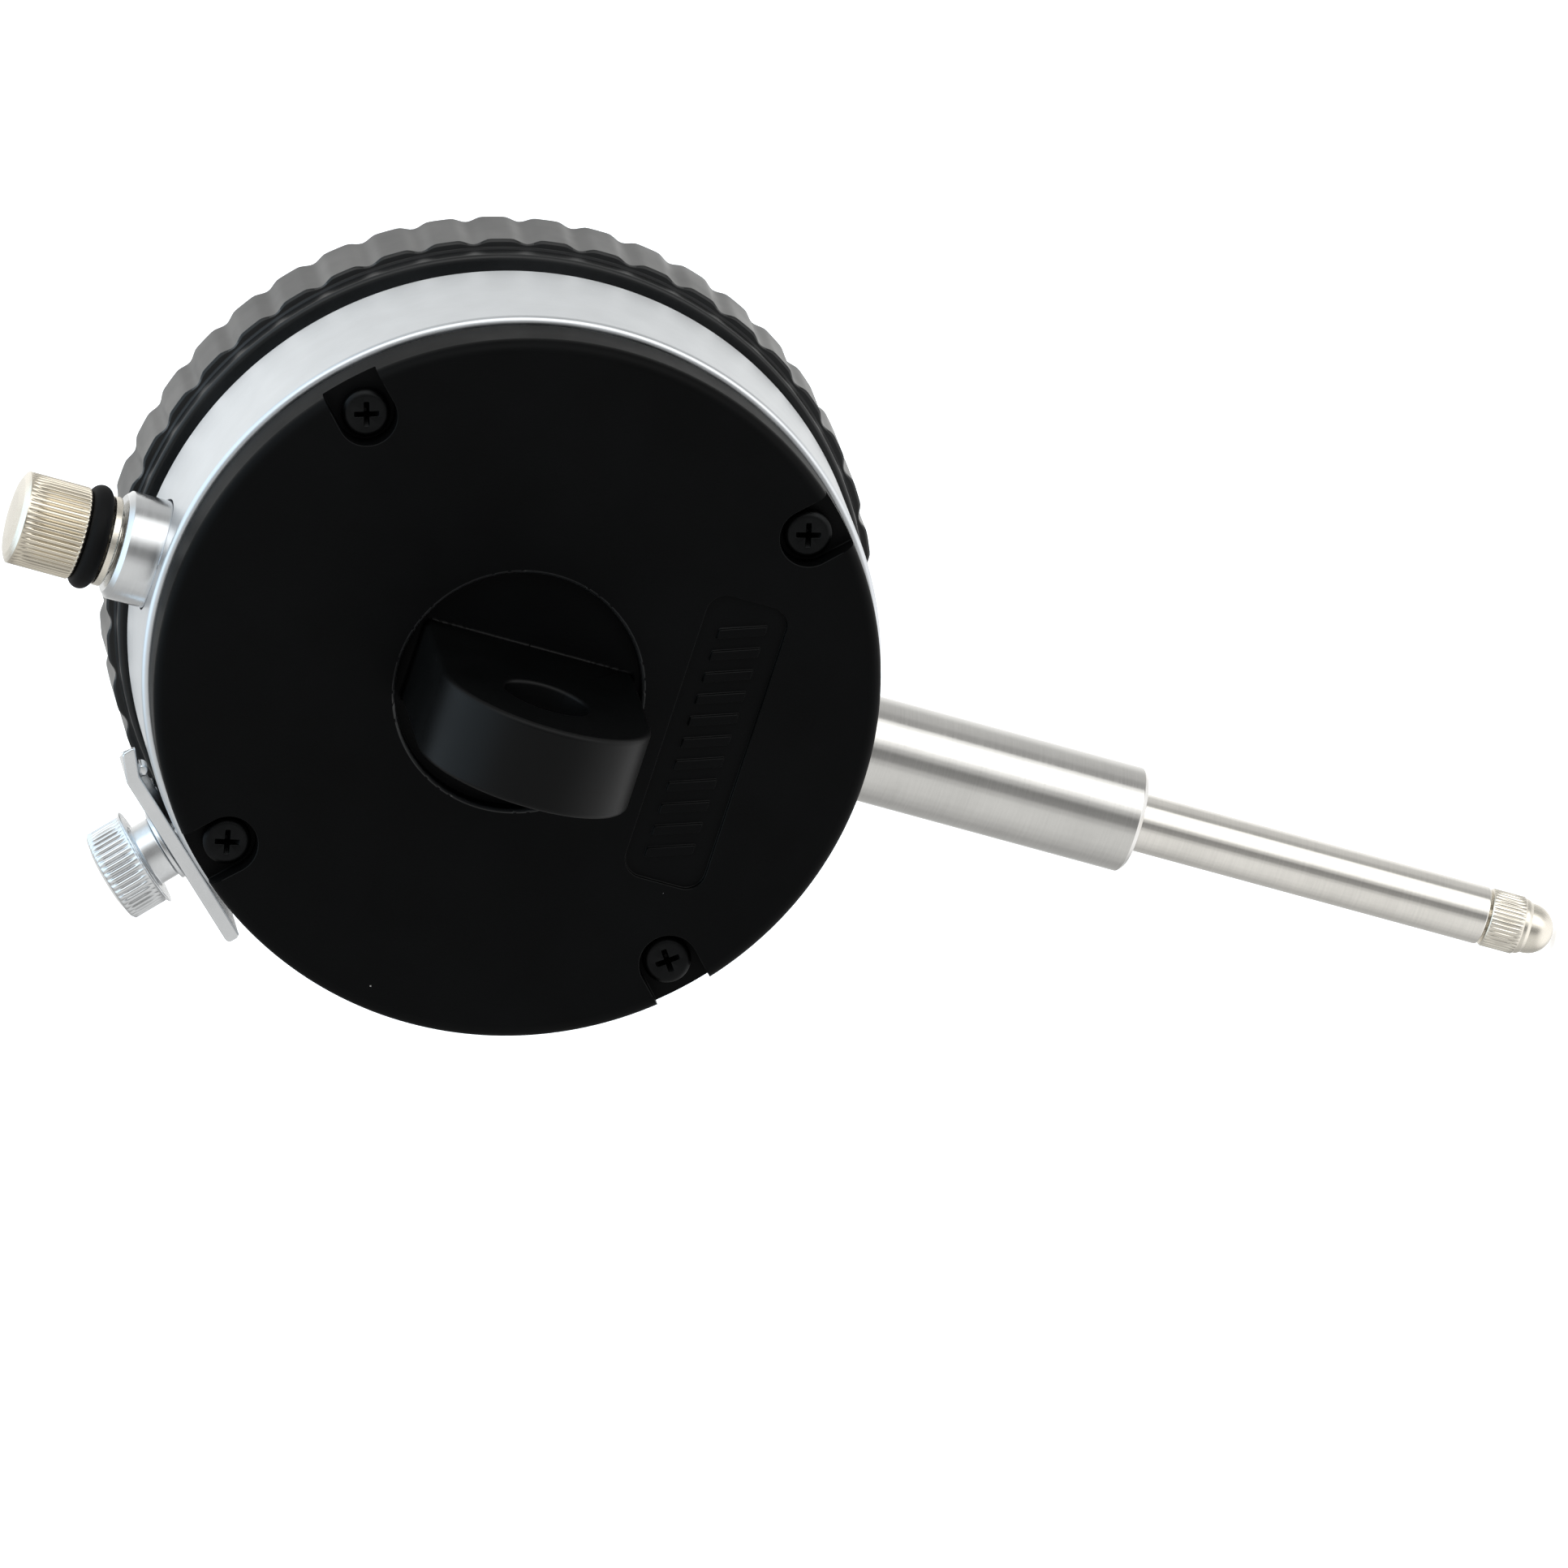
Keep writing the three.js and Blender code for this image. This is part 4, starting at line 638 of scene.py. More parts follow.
boss_low, boss_high = extent("top_boss")
boss_lip = boss_high.z - GUIDE_LIP
boss_sleeve = turned("boss_sleeve", [
    (GUIDE_BORE_R, boss_low.z), (TOP_BOSS_R, boss_low.z, 0.1),
    (TOP_BOSS_R, boss_high.z - TOP_BOSS_CHAMFER, 0.1), (TOP_BOSS_R - TOP_BOSS_CHAMFER, boss_high.z, 0.08),
    (2.5, boss_high.z, 0.08), (2.4, boss_lip), (GUIDE_BORE_R, boss_lip),
], "z")
place(boss_sleeve, "housing", "boss_silver", "top_boss")


# ---- rear cover with its lug ----


def lug_reach(angle, shrink):
    """Distance from the hole's centre to the lug's outline, drawn in at its edge by shrink."""
    radius = LUG_R - shrink
    along, across = math.cos(angle), math.sin(angle)
    if along >= 0:
        return radius
    side = radius / abs(across) if abs(across) > 1e-9 else 1e9
    base = (LUG_CENTRE_Y - RECESS_Y + LUG_ROOT_DEPTH) / abs(along)
    return min(side, base)


def make_lug():
    """The lug as one skin of rings round its hole, with its outer and inner edges rounded."""
    count = 256
    corner_angle = math.atan2(LUG_R, -(LUG_CENTRE_Y - RECESS_Y + LUG_ROOT_DEPTH))
    edge, hole_edge = 0.42, 0.3
    section = []
    steps = 5
    for side in (1, -1):
        outer, inner = [], []
        for k in range(steps + 1):
            a = math.pi / 2 * k / steps
            edge_x = LUG_HALF - edge + edge * math.sin(a)
            hole_x = LUG_HALF - hole_edge * (1 - math.cos(a))
            outer.append(("out", edge * (1 - math.cos(a)), side * edge_x))
            inner.append(("in", hole_edge * (1 - math.sin(a)), side * hole_x))
        outer.append(("out", edge + SUPPORT, side * LUG_HALF))
        inner.insert(0, ("in", hole_edge + SUPPORT, side * LUG_HALF))
        rim = outer + inner
        section += rim if side == 1 else list(reversed(rim))
    # the nearest ring angle moves onto each of the two corners at the lug's root
    angles = [TAU * k / count for k in range(count)]
    for corner in (corner_angle, TAU - corner_angle):
        nearest = min(range(count), key=lambda k: abs(angles[k] - corner))
        angles[nearest] = corner
    rings = []
    for kind, offset, x in section:
        ring = []
        for angle in angles:
            reach = lug_reach(angle, offset) if kind == "out" else LUG_HOLE_R + offset
            ring.append(mm(x, LUG_CENTRE_Y + reach * math.cos(angle), reach * math.sin(angle)))
        rings.append(ring)
    return skin("lug", rings, closed=True)


def pocket_cutter(angle):
    """A well round the screw that opens at the cover's rim."""
    u = (math.cos(angle), math.sin(angle))
    w = (-u[1], u[0])
    outline = []
    for along, across in [(6, -POCKET_R), (6, POCKET_R)] + arc((0, 0), POCKET_R, 90, 270, 28):
        reach = SCREW_CIRCLE_R + along
        outline.append((u[0] * reach + w[0] * across, u[1] * reach + w[1] * across))
    return slab("cutter", outline, POCKET_FLOOR_Y, ABOVE_COVER_Y, along_y)


def badge_bar(number):
    """One slanted bar of the plain row in the badge panel."""
    left = (number - (BARS - 1) / 2) * BAR_SPACING - (BAR_WIDTH + BAR_SLANT) / 2
    low, high = BADGE_Z - BAR_HALF_HEIGHT, BADGE_Z + BAR_HALF_HEIGHT
    outline = [
        (left, low), (left + BAR_WIDTH, low), (left + BAR_WIDTH + BAR_SLANT, high), (left + BAR_SLANT, high),
    ]
    return slab("cutter", outline, COVER_FACE_Y - 2 * BADGE_DEPTH, COVER_FACE_Y - 0.1, along_y)


cover_low, _ = extent("rear_cover")
screw_angles = [math.radians(45 + 90 * k) for k in range(4)]
screw_spots = [(SCREW_CIRCLE_R * math.cos(a), SCREW_CIRCLE_R * math.sin(a)) for a in screw_angles]

cover_moulding = turned("cover_moulding", [
    (0, COVER_CAVITY_Y), (COVER_CAVITY_R, COVER_CAVITY_Y), (COVER_CAVITY_R, cover_low.y),
    (COVER_R, cover_low.y, 0.1), (COVER_R, COVER_FACE_Y, COVER_FILLET), (0, COVER_FACE_Y),
], "y", 240)
recess = turned("cutter", [
    (0, RECESS_Y), (RECESS_R, RECESS_Y), (RECESS_R, COVER_FACE_Y - 0.16),
    (RECESS_R + RECESS_CHAMFER, COVER_FACE_Y + 0.14), (RECESS_R + RECESS_CHAMFER, ABOVE_COVER_Y),
    (0, ABOVE_COVER_Y),
], "y", 144)
badge = slab(
    "cutter", rounded_box(11.3, 3.1, 1.5, (0, BADGE_Z)), COVER_FACE_Y - BADGE_DEPTH, ABOVE_COVER_Y, along_y,
)
boolean(cover_moulding, "DIFFERENCE", recess, badge, *[pocket_cutter(a) for a in screw_angles])
holes = [drill(SCREW_SHANK_R + 0.1, 4, 9, "y", 32, spot) for spot in screw_spots]
boolean(cover_moulding, "DIFFERENCE", *holes)
bars = [badge_bar(k) for k in range(BARS)]
boolean(cover_moulding, "UNION", make_lug(), *bars)


def cover_rounding(middle):
    """Large at the lug's root, small on the other edges, and none at the rim."""
    if math.hypot(middle.x, middle.z) > INSIDE_RIM_R:
        return 0.0
    under_lug = abs(middle.z) < LUG_R + 0.1 and abs(middle.x) < LUG_HALF + 0.1
    at_root = under_lug and abs(middle.y - RECESS_Y) < 0.05
    return 1.0 if at_root else 0.4


def give_faces(obj, look, chosen):
    """Adds a second look to a piece, on the faces for which chosen(face) is true."""
    obj.data.materials.append(looks[look])
    number = len(obj.data.materials) - 1
    for face in obj.data.polygons:
        if chosen(face):
            face.material_index = number


def from_axis(face):
    """How far a face's middle lies from the dial's axis."""
    return math.hypot(face.center.x, face.center.z) / MM


def on_recess_rim(face):
    ring = RECESS_R - 0.1 < from_axis(face) < RECESS_R + 0.6
    level = 9.9 < face.center.y / MM < COVER_FACE_Y + 0.2
    return ring and level and abs(face.normal.y) < 0.995


def on_lug_or_wall(face):
    on_lug = face.center.y / MM > COVER_FACE_Y + 0.2
    on_wall = abs(face.normal.y) < 0.9 and from_axis(face) < INSIDE_RIM_R
    return (on_lug or on_wall) and not on_recess_rim(face)


soften(cover_moulding, 0.25, 3, 34, cover_rounding)
place(cover_moulding, "housing", "black_plastic", "rear_cover")
give_faces(cover_moulding, "cover_edge", on_lug_or_wall)
# The recess rim takes the lighter plastic, which paints a highlight line round it.
give_faces(cover_moulding, "rim_painted_highlight", on_recess_rim)


# ---- cross-recess screws ----


def cross_cutter(spot, bottom, top, reach, half, turn_by):
    """A cross whose arms narrow towards the bottom of the recess."""
    arms = []
    for quarter in (0, math.pi / 2):
        rings = []
        a = turn_by + quarter
        for height, share in ((bottom, 0.12), (top, 1.0)):
            ring = []
            for u, v in rounded_box(reach * share, half * (0.7 + 0.3 * share), half * 0.35, steps=3):
                x = spot[0] + u * math.cos(a) - v * math.sin(a)
                z = spot[1] + u * math.sin(a) + v * math.cos(a)
                ring.append(mm(x, height, z))
            rings.append(ring)
        ends = (mm(spot[0], bottom, spot[1]), mm(spot[0], top, spot[1]))
        arms.append(skin("cutter", rings, caps=ends))
    return arms


def cross_screw(name, spot, corners, bottom, top, reach, half, turn_by):
    screw = turned(name, corners, "y", 64, spot)
    boolean(screw, "DIFFERENCE", *cross_cutter(spot, bottom, top, reach, half, turn_by))
    return soften(screw, 0.035, 2, 40)


for k, spot in enumerate(screw_spots):
    low, high = extent(f"cover_screw_{k + 1}")
    under = POCKET_FLOOR_Y + 0.05
    made = cross_screw(f"cross_screw_{k + 1}", spot, [
        (0, low.y), (SCREW_SHANK_R, low.y, 0.1), (SCREW_SHANK_R, under), (SCREW_HEAD_R, under, 0.08),
        (SCREW_HEAD_R, high.y - 0.3, 0.2), (1.5, high.y - 0.06, 0.4), (0, high.y),
    ], under - 0.3, high.y + 0.05, 1.0, 0.2, math.radians(SCREW_TURNS[k]))
    place(made, "housing", "black_screw", f"cover_screw_{k + 1}")


# ---- spindle, lifting cap and contact point ----


def ridges(count, depth, low, high, radii, share=0.35):
    """Straight knurling between two heights and two radii, fading out at each end."""
    def relief(angle, radius, height):
        if not radii[0] < radius < radii[1]:
            return radius
        fade = min(max((height - low) / 0.18, 0), 1) * min(max((high - height) / 0.18, 0), 1)
        phase = abs((angle * count / TAU) % 1 - 0.5) * 2
        groove = min(max((phase - share) / (1 - share), 0), 1)
        return radius - depth * fade * groove * groove * (3 - 2 * groove)
    return relief


def stepped(low, high, count):
    return [low + (high - low) * k / count for k in range(count + 1)]


spindle_low, spindle_high = extent("spindle")
spindle_rod = turned("spindle_rod", [
    (0, spindle_low.z), (SPINDLE_R, spindle_low.z, 0.16), (SPINDLE_R, SPINDLE_TOP_Z, 0.1),
    (STUD_R, SPINDLE_TOP_Z), (STUD_R, spindle_high.z, 0.1), (0, spindle_high.z),
], "z", 128)
rack_top = -10.4143 + 3 * RACK_PITCH
rack_low = rack_top - RACK_TEETH * RACK_PITCH
comb = [(-3, rack_top + RACK_PITCH), (RACK_FROM_X, rack_top + RACK_PITCH)]
for k in range(RACK_TEETH):
    z = rack_top - k * RACK_PITCH
    comb += [(RACK_FROM_X, z + 0.24), (RACK_ROOT_X, z), (RACK_FROM_X, z - 0.24)]
comb += [(RACK_FROM_X, rack_low), (-3, rack_low)]
boolean(spindle_rod, "DIFFERENCE", slab("cutter", comb, -2.3, 2.3, along_y))
spindle_rod.data.set_sharp_from_angle(angle=math.radians(32))
place(spindle_rod, "spindle_group", "spindle_steel", "spindle")

flange_low, flange_high = extent("cap_flange")
flange_disc = turned("flange_disc", [
    (STUD_R + 0.05, flange_low.z, 0.05), (FLANGE_R, flange_low.z, 0.12),
    (FLANGE_R, flange_high.z, 0.12), (STUD_R + 0.05, flange_high.z, 0.05),
], "z", 128)
place(flange_disc, "spindle_group", "nickel", "cap_flange")

ring_low, ring_high = extent("cap_o_ring")
ring_middle = (ring_low.z + ring_high.z) / 2
tube = []
for k in range(24):
    a = TAU * k / 24
    tube.append((RING_CENTRE_R + RING_TUBE_R * math.cos(a), ring_middle + RING_TUBE_R * math.sin(a)))
place(turned("rubber_ring", tube, "z", 128), "spindle_group", "rubber", "cap_o_ring")

cap_low, cap_high = extent("spindle_cap")
grip_from, grip_to = CAP_BODY_Z + 0.15, cap_high.z - 0.78
dome = [(3.28, cap_high.z - 0.48, 0.18), (2.9, cap_high.z - 0.3, 0.4), (1.8, cap_high.z - 0.1, 1.0)]
cap_knob = turned("lifting_cap", [
    (0, 36.8), (1.05, 36.8), (1.05, cap_low.z), (CAP_NECK_R, cap_low.z, 0.05), (CAP_NECK_R, CAP_BODY_Z),
    (CAP_R - 0.2, CAP_BODY_Z, 0.1), (CAP_R, CAP_BODY_Z + 0.2, 0.08),
    *[(CAP_R, h) for h in stepped(CAP_BODY_Z + 0.35, grip_to, 6)],
    (CAP_R, cap_high.z - 0.62, 0.08), *dome, (0, cap_high.z),
], "z", CAP_RIDGES * 10, relief=ridges(CAP_RIDGES, 0.19, grip_from, grip_to, (3.42, 4)), sharp=75)
place(cap_knob, "spindle_group", "nickel", "spindle_cap")
# The cap's knurled sides take the darker, warmer nickel.
give_faces(cap_knob, "knurl_dark_nickel", lambda face: (
    math.hypot(face.center.x, face.center.y) / MM > 3.2 and abs(face.normal.z) < 0.5
))

contact_low, contact_high = extent("contact_point")
contact_body = turned("contact_body", [
    (0, contact_low.z), (1.93, contact_low.z, 0.02), (CONTACT_NOSE_R, contact_low.z + 0.3, 0.3),
    (CONTACT_NOSE_R, CONTACT_GRIP_Z - 0.1, 0.05),
    *[(CONTACT_R, h) for h in stepped(CONTACT_GRIP_Z, CONTACT_TOP_Z - 0.16, 5)],
    (2.08, CONTACT_TOP_Z, 0.08), (STUD_R, CONTACT_TOP_Z), (STUD_R, contact_high.z, 0.1), (0, contact_high.z),
], "z", CONTACT_RIDGES * 10, relief=ridges(
    CONTACT_RIDGES, 0.09, CONTACT_GRIP_Z, CONTACT_TOP_Z - 0.1, (2.15, 3),
), sharp=75)
place(contact_body, "spindle_group", "nickel", "contact_point")

ball_low, _ = extent("contact_ball")
ball_at = ball_low.z + BALL_R
meridian = []
for k in range(33):
    a = math.pi * k / 32
    meridian.append((BALL_R * math.sin(a), ball_at - BALL_R * math.cos(a)))
meridian[0], meridian[-1] = (0, ball_at - BALL_R), (0, ball_at + BALL_R)
place(turned("contact_tip", meridian, "z", 96), "spindle_group", "nickel", "contact_ball")


# ---- bezel, lens and dials ----


def flutes(angle, radius, height):
    """Shallow valleys between broad crests, only on the grip, and fading out toward its root."""
    if radius < FLUTE_ROOT_R - 0.02:
        return radius
    phase = abs((angle * FLUTES / TAU) % 1 - 0.5) * 2
    valley = min(max((phase - 0.4) / 0.6, 0), 1)
    depth = (radius - FLUTE_ROOT_R) / (BEZEL_R - FLUTE_ROOT_R)
    return radius - FLUTE_DEPTH * min(depth, 1) * valley * valley * (3 - 2 * valley)


bezel_low, bezel_high = extent("bezel")
bezel_ring = turned("bezel_ring", [
    (BEZEL_SEAT_R, bezel_high.y, 0.15), (BEZEL_LIP_R, bezel_high.y, 0.35),
    (BEZEL_LIP_R, -9.75, 0.12), (BEZEL_ROOT_R, -9.98, 0.05),
    (28.52, -10.02, 0.1), (BEZEL_R, -10.2, 0.1), (BEZEL_R, -13.3), (BEZEL_R, bezel_low.y + 0.55, 0.3),
    (BEZEL_ROOT_R, bezel_low.y, 0.25), (26.3, bezel_low.y, 0.15), (24.6, bezel_low.y + 0.75, 0.12),
    (25.2, -15.9), (25.75, -15.9), (25.75, -12.9), (BEZEL_SEAT_R, -12.9), (BEZEL_SEAT_R, -9.75),
    (26.95, -9.75), (26.95, -8.65), (BEZEL_SEAT_R, -8.65),
], "y", FLUTES * 16, relief=flutes, sharp=40)
place(bezel_ring, "bezel_group", "black_bezel", "bezel")
# The grip's outer faces take the lighter plastic, which paints on them the light falling from above.
give_faces(bezel_ring, "bezel_grip", lambda face: from_axis(face) > 28.2 and abs(face.normal.y) < 0.5)

lens_low, lens_high = extent("lens")
lens_disc = turned("lens_disc", [
    (0, lens_low.y), (LENS_R, lens_low.y, 0.15), (LENS_R, lens_high.y, 0.15), (0, lens_high.y),
], "y")
place(lens_disc, "bezel_group", "glass", "lens")

spacer_low, spacer_high = extent("dial_spacer")
spacer = turned("rehaut_ring", [
    (24.95, spacer_low.y, 0.1), (LENS_R + 0.1, spacer_low.y, 0.1),
    (LENS_R + 0.1, spacer_high.y, 0.1), (24.75, spacer_high.y, 0.1),
], "y")
place(spacer, "bezel_group", "black_plastic", "dial_spacer")


def dial_plate(name, node, inner_r, outer_r):
    """A flat ring between the CAD node's two faces."""
    low, high = extent(node)
    corners = [(inner_r, low.y, 0.06), (outer_r, low.y, 0.06), (outer_r, high.y, 0.06), (inner_r, high.y, 0.06)]
    return turned(name, corners, "y")


outer_low, _ = extent("outer_dial")
outer_plate = dial_plate("outer_dial_plate", "outer_dial", OUTER_DIAL_BORE_R, OUTER_DIAL_R)
place(outer_plate, "bezel_group", "dial", "outer_dial")

inner_low, _ = extent("inner_dial")
inner_plate = dial_plate("inner_dial_plate", "inner_dial", 1.0, INNER_DIAL_R)
dial_holes = [
    drill(radius, -13.5, -11, "y", 48, at)
    for radius, at in ((0.7, COUNTER_AT), (0.6, (-DIAL_SCREW_X, 0)), (0.6, (DIAL_SCREW_X, 0)))
]
boolean(inner_plate, "DIFFERENCE", *dial_holes)
inner_plate.data.set_sharp_from_angle(angle=math.radians(32))
place(inner_plate, "housing", "dial", "inner_dial")


def dial_ticks(centre, count, lengths, outer_r, widths, top_y):
    """Graduations as thin raised ink bars. lengths and widths are for plain, fifth and tenth marks."""
    bm = bmesh.new()
    for k in range(count):
        rank = 2 if k % 10 == 0 else 1 if k % 5 == 0 else 0
        angle = TAU * k / count
        out = (math.sin(angle), math.cos(angle))
        side = (out[1], -out[0])
        inner_r = outer_r - lengths[rank]
        corners = []
        for y in (top_y - 0.018, top_y + 0.03):
            for r, s in ((inner_r, -1), (outer_r, -1), (outer_r, 1), (inner_r, 1)):
                h = s * widths[rank] / 2
                x = centre[0] + out[0] * r + side[0] * h
                z = centre[1] + out[1] * r + side[1] * h
                corners.append(bm.verts.new(mm(x, y, z)))
        for face in ((0, 1, 2, 3), (7, 6, 5, 4), (0, 4, 5, 1), (1, 5, 6, 2), (2, 6, 7, 3), (3, 7, 4, 0)):
            bm.faces.new([corners[i] for i in face])
    return named_object("ticks", bm)


def numerals(centre, labels, radius, size, top_y):
    """Upright figures round a dial, clockwise from the top."""
    made = []
    for k, label in enumerate(labels):
        curve = bpy.data.curves.new("figure", "FONT")
        curve.body = label
        curve.size = size * MM
        curve.align_x = "CENTER"
        curve.align_y = "CENTER"
        curve.extrude = 0.02 * MM
        curve.offset = 0.012 * size * MM
        curve.resolution_u = 4
        text = bpy.data.objects.new("figure", curve)
        bpy.context.scene.collection.objects.link(text)
        angle = TAU * k / len(labels)
        spot = mm(centre[0] + radius * math.sin(angle), top_y, centre[1] + radius * math.cos(angle))
        text.matrix_world = Matrix.Translation(spot) @ Matrix.Rotation(math.pi / 2, 4, "X")
        bpy.context.view_layer.update()
        graph = bpy.context.evaluated_depsgraph_get()
        mesh = bpy.data.meshes.new_from_object(text.evaluated_get(graph))
        mesh.transform(text.matrix_world)
        bpy.data.objects.remove(text)
        bpy.data.curves.remove(curve)
        flat = bpy.data.objects.new("figure", mesh)
        bpy.context.scene.collection.objects.link(flat)
        made.append(flat)
    return made


outer_marks = merged(
    "outer_scale",
    dial_ticks((0, 0), 100, (1.6, 2.3, 3.0), 24.2, (0.16, 0.2, 0.3), outer_low.y),
    *numerals((0, 0), [str(10 * k) for k in range(10)], 18.2, 3.5, outer_low.y),
)
place(outer_marks, "bezel_group", "print")
inner_marks = merged(
    "counter_scale",
    dial_ticks(COUNTER_AT, 25, (0.45, 0.75, 0.75), 3.75, (0.09, 0.13, 0.13), inner_low.y),
    *numerals(COUNTER_AT, [str(5 * k) for k in range(5)], 2.35, 0.95, inner_low.y),
)
place(inner_marks, "housing", "print")

for k, x in enumerate((-DIAL_SCREW_X, DIAL_SCREW_X)):
    low, high = extent(f"dial_screw_{k + 1}")
    made = cross_screw(f"dial_cross_screw_{k + 1}", (x, 0), [
        (0, high.y), (0.5, high.y, 0.05), (0.5, -12.25), (1.1, -12.25, 0.04), (1.1, -12.45, 0.1),
        (0.7, low.y, 0.1), (0, low.y),
    ], -12.3, low.y - 0.05, 0.6, 0.12, math.radians(25 + 50 * k))
    place(made, "housing", "nickel", f"dial_screw_{k + 1}")


def hand_outline(length, tail, width, tip, centre, hub, tail_r=0.0):
    """A tapered hand that points up Z, with a round hub and a round counterweight."""
    spread = math.degrees(math.asin(min(width / 2 / hub, 1)))
    points = [(-tip / 2, length), (tip / 2, length)]
    points += arc((0, 0), hub, 90 - spread, -90 + spread, 12)
    if tail_r:
        neck = math.degrees(math.asin(width / 2 / tail_r))
        points += arc((0, -tail), tail_r, 90 - neck, -270 + neck, 20)
    else:
        points += [(width / 2, -tail), (-width / 2, -tail)]
    points += arc((0, 0), hub, 270 - spread, 90 + spread, 12)
    return [(centre[0] + u, centre[1] + v) for u, v in points]


pointer_low, pointer_high = extent("main_pointer")
hand_shape = hand_outline(pointer_high.z, -pointer_low.z - 1.5, 0.95, 0.22, (0, 0), 2.1, 1.45)
hand = slab("dial_hand", hand_shape, pointer_low.y, pointer_high.y, along_y)
boolean(hand, "DIFFERENCE", drill(1.3, -15, -13, "y", 48))
place(soften(hand, 0.05, 2), "centre_group", "pointer", "main_pointer")

hub_low, hub_high = extent("pointer_hub")
hub_cap = turned("hand_hub", [
    (0.35, hub_high.y), (1.28, hub_high.y, 0.06), (1.28, hub_low.y + 0.3, 0.12), (0.95, hub_low.y, 0.1),
    (0.35, hub_low.y, 0.06),
], "y", 96)
place(hub_cap, "centre_group", "nickel", "pointer_hub")

small_hand = slab("small_hand", hand_outline(2.7, 1.1, 0.42, 0.12, COUNTER_AT, 0.72), -12.95, -12.75, along_y)
boolean(small_hand, "DIFFERENCE", drill(0.35, -14, -12, "y", 32, COUNTER_AT))
place(soften(small_hand, 0.03, 2), "counter_group", "pointer", "counter_hand")


# ---- bezel clamp, drawn with its screw on X and then turned to its place ----

TAB_END = BEND_Z + TAB_LENGTH * math.cos(TAB_ANGLE)
TAB_DROP = TAB_LENGTH * math.sin(TAB_ANGLE)


def clamp_section():
    """The bent strip seen from its side, with the bend and both ends rounded."""
    inner = [(PLATE_FROM, PLATE_LOW, 0.3), (PLATE_FROM, BEND_Z, 0.5), (PLATE_FROM - TAB_DROP, TAB_END, 0.2)]
    outer = [(PLATE_TO - TAB_DROP, TAB_END, 0.3), (PLATE_TO, BEND_Z, 0.7), (PLATE_TO, PLATE_LOW, 0.4)]
    return [tuple(p) for p in rounded(inner + outer, True)]


clamp_strip = slab("clamp_strip", clamp_section(), PLATE_FRONT_Y, PLATE_REAR_Y, along_y)
slant = slab("cutter", [
    (PLATE_FRONT_Y - 1, BEND_Z), (PLATE_FRONT_Y, BEND_Z), (PLATE_REAR_Y - 0.3, TAB_END),
    (PLATE_REAR_Y - 0.3, TAB_END + 1), (PLATE_FRONT_Y - 1, TAB_END + 1),
], 24, 31, along_x)
screw_hole = drill(CLAMP_HOLE_R, 26, 31, "x", 48, (CLAMP_Y, 0))
foot = slab("cutter", rounded_box(1.85, 3, 0.8, (-6.15, 0)), PLATE_FROM, PLATE_TO, along_x)
heel = turned("cutter", [(0, -0.5), (HEEL_R, -0.5, 0.1), (HEEL_R, 1.0, 0.2), (0, 1.0)], "y", 48, (27.5, 6.5))
boolean(clamp_strip, "DIFFERENCE", slant)
boolean(clamp_strip, "UNION", foot, heel)
boolean(clamp_strip, "DIFFERENCE", screw_hole)
soften(clamp_strip, 0.14, 3, 34)
clamp_strip.data.transform(clamp_turn)
place(clamp_strip, "clamp_plate_group", "clamp_silver", "clamp_plate")

washer = turned("clamp_collar", [
    (1.3, 28.95, 0.05), (WASHER_R, 28.95, 0.08), (WASHER_R, 29.3, 0.08), (1.3, 29.3, 0.05),
], "x", 96, (CLAMP_Y, 0))
washer.data.transform(clamp_turn)
place(washer, "clamp_screw_group", "clamp_silver", "clamp_washer")

thumb_screw = turned("thumb_screw", [
    (0, 25.9), (1.2, 25.9, 0.12), (1.2, 29.35), (KNOB_NECK_R, 29.35, 0.12),
    (KNOB_NECK_R, KNOB_FROM - 0.1, 0.08), (2.6, KNOB_FROM, 0.05), (3.8, KNOB_FROM, 0.04),
    (3.85, KNOB_FROM + 0.1, 0.04), (3.6, KNOB_FROM + 0.24, 0.05),
    *[(KNOB_GRIP_R, h) for h in stepped(KNOB_FROM + 0.32, KNOB_TO - 0.5, 6)],
    (3.3, KNOB_TO - 0.3, 0.12), (2.2, KNOB_TO - 0.06, 0.8), (0, KNOB_TO),
], "x", KNOB_RIDGES * 10, (CLAMP_Y, 0), relief=ridges(
    KNOB_RIDGES, 0.2, KNOB_FROM + 0.3, KNOB_TO - 0.4, (3.5, 3.7), 0.25,
), sharp=75)
thumb_screw.data.transform(clamp_turn)
place(thumb_screw, "clamp_screw_group", "clamp_silver", "clamp_screw")


# ---- return spring, stretched between its post and the guide pin ----


def make_spring():
    """A coil of round wire along Z."""
    steps = SPRING_TURNS * 24
    rings = []
    for k in range(steps + 1):
        t = k / steps
        angle = TAU * SPRING_TURNS * t
        out = Vector((math.cos(angle), math.sin(angle), 0))
        height = SPRING_LOW_Z + (SPRING_HIGH_Z - SPRING_LOW_Z) * t
        middle = Vector((SPRING_X, 0, height)) + out * SPRING_COIL_R
        rings.append([
            (middle + out * SPRING_WIRE_R * math.cos(a) + Vector((0, 0, SPRING_WIRE_R * math.sin(a)))) * MM
            for a in (TAU * i / 10 for i in range(10))
        ])
    ends = [sum(ring, Vector()) / len(ring) for ring in (rings[0], rings[-1])]
    return skin("pull_spring", rings, caps=ends)


pull_spring = place(make_spring(), None, "steel", "return_spring")
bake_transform(pull_spring)


# ---- finishes of the CAD nodes that stay ----

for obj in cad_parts.values():
    if obj.hide_render:
        continue
    name = obj.data.materials[0].name if obj.data.materials else ""
    look = looks.get(name.split(".")[0], looks["steel"])
    for material_slot in obj.material_slots:
        material_slot.material = look


# ---- floor, world and lamps ----

FLOOR_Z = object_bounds()[0].z - 0.0002
FLOOR_HALF = 9.0


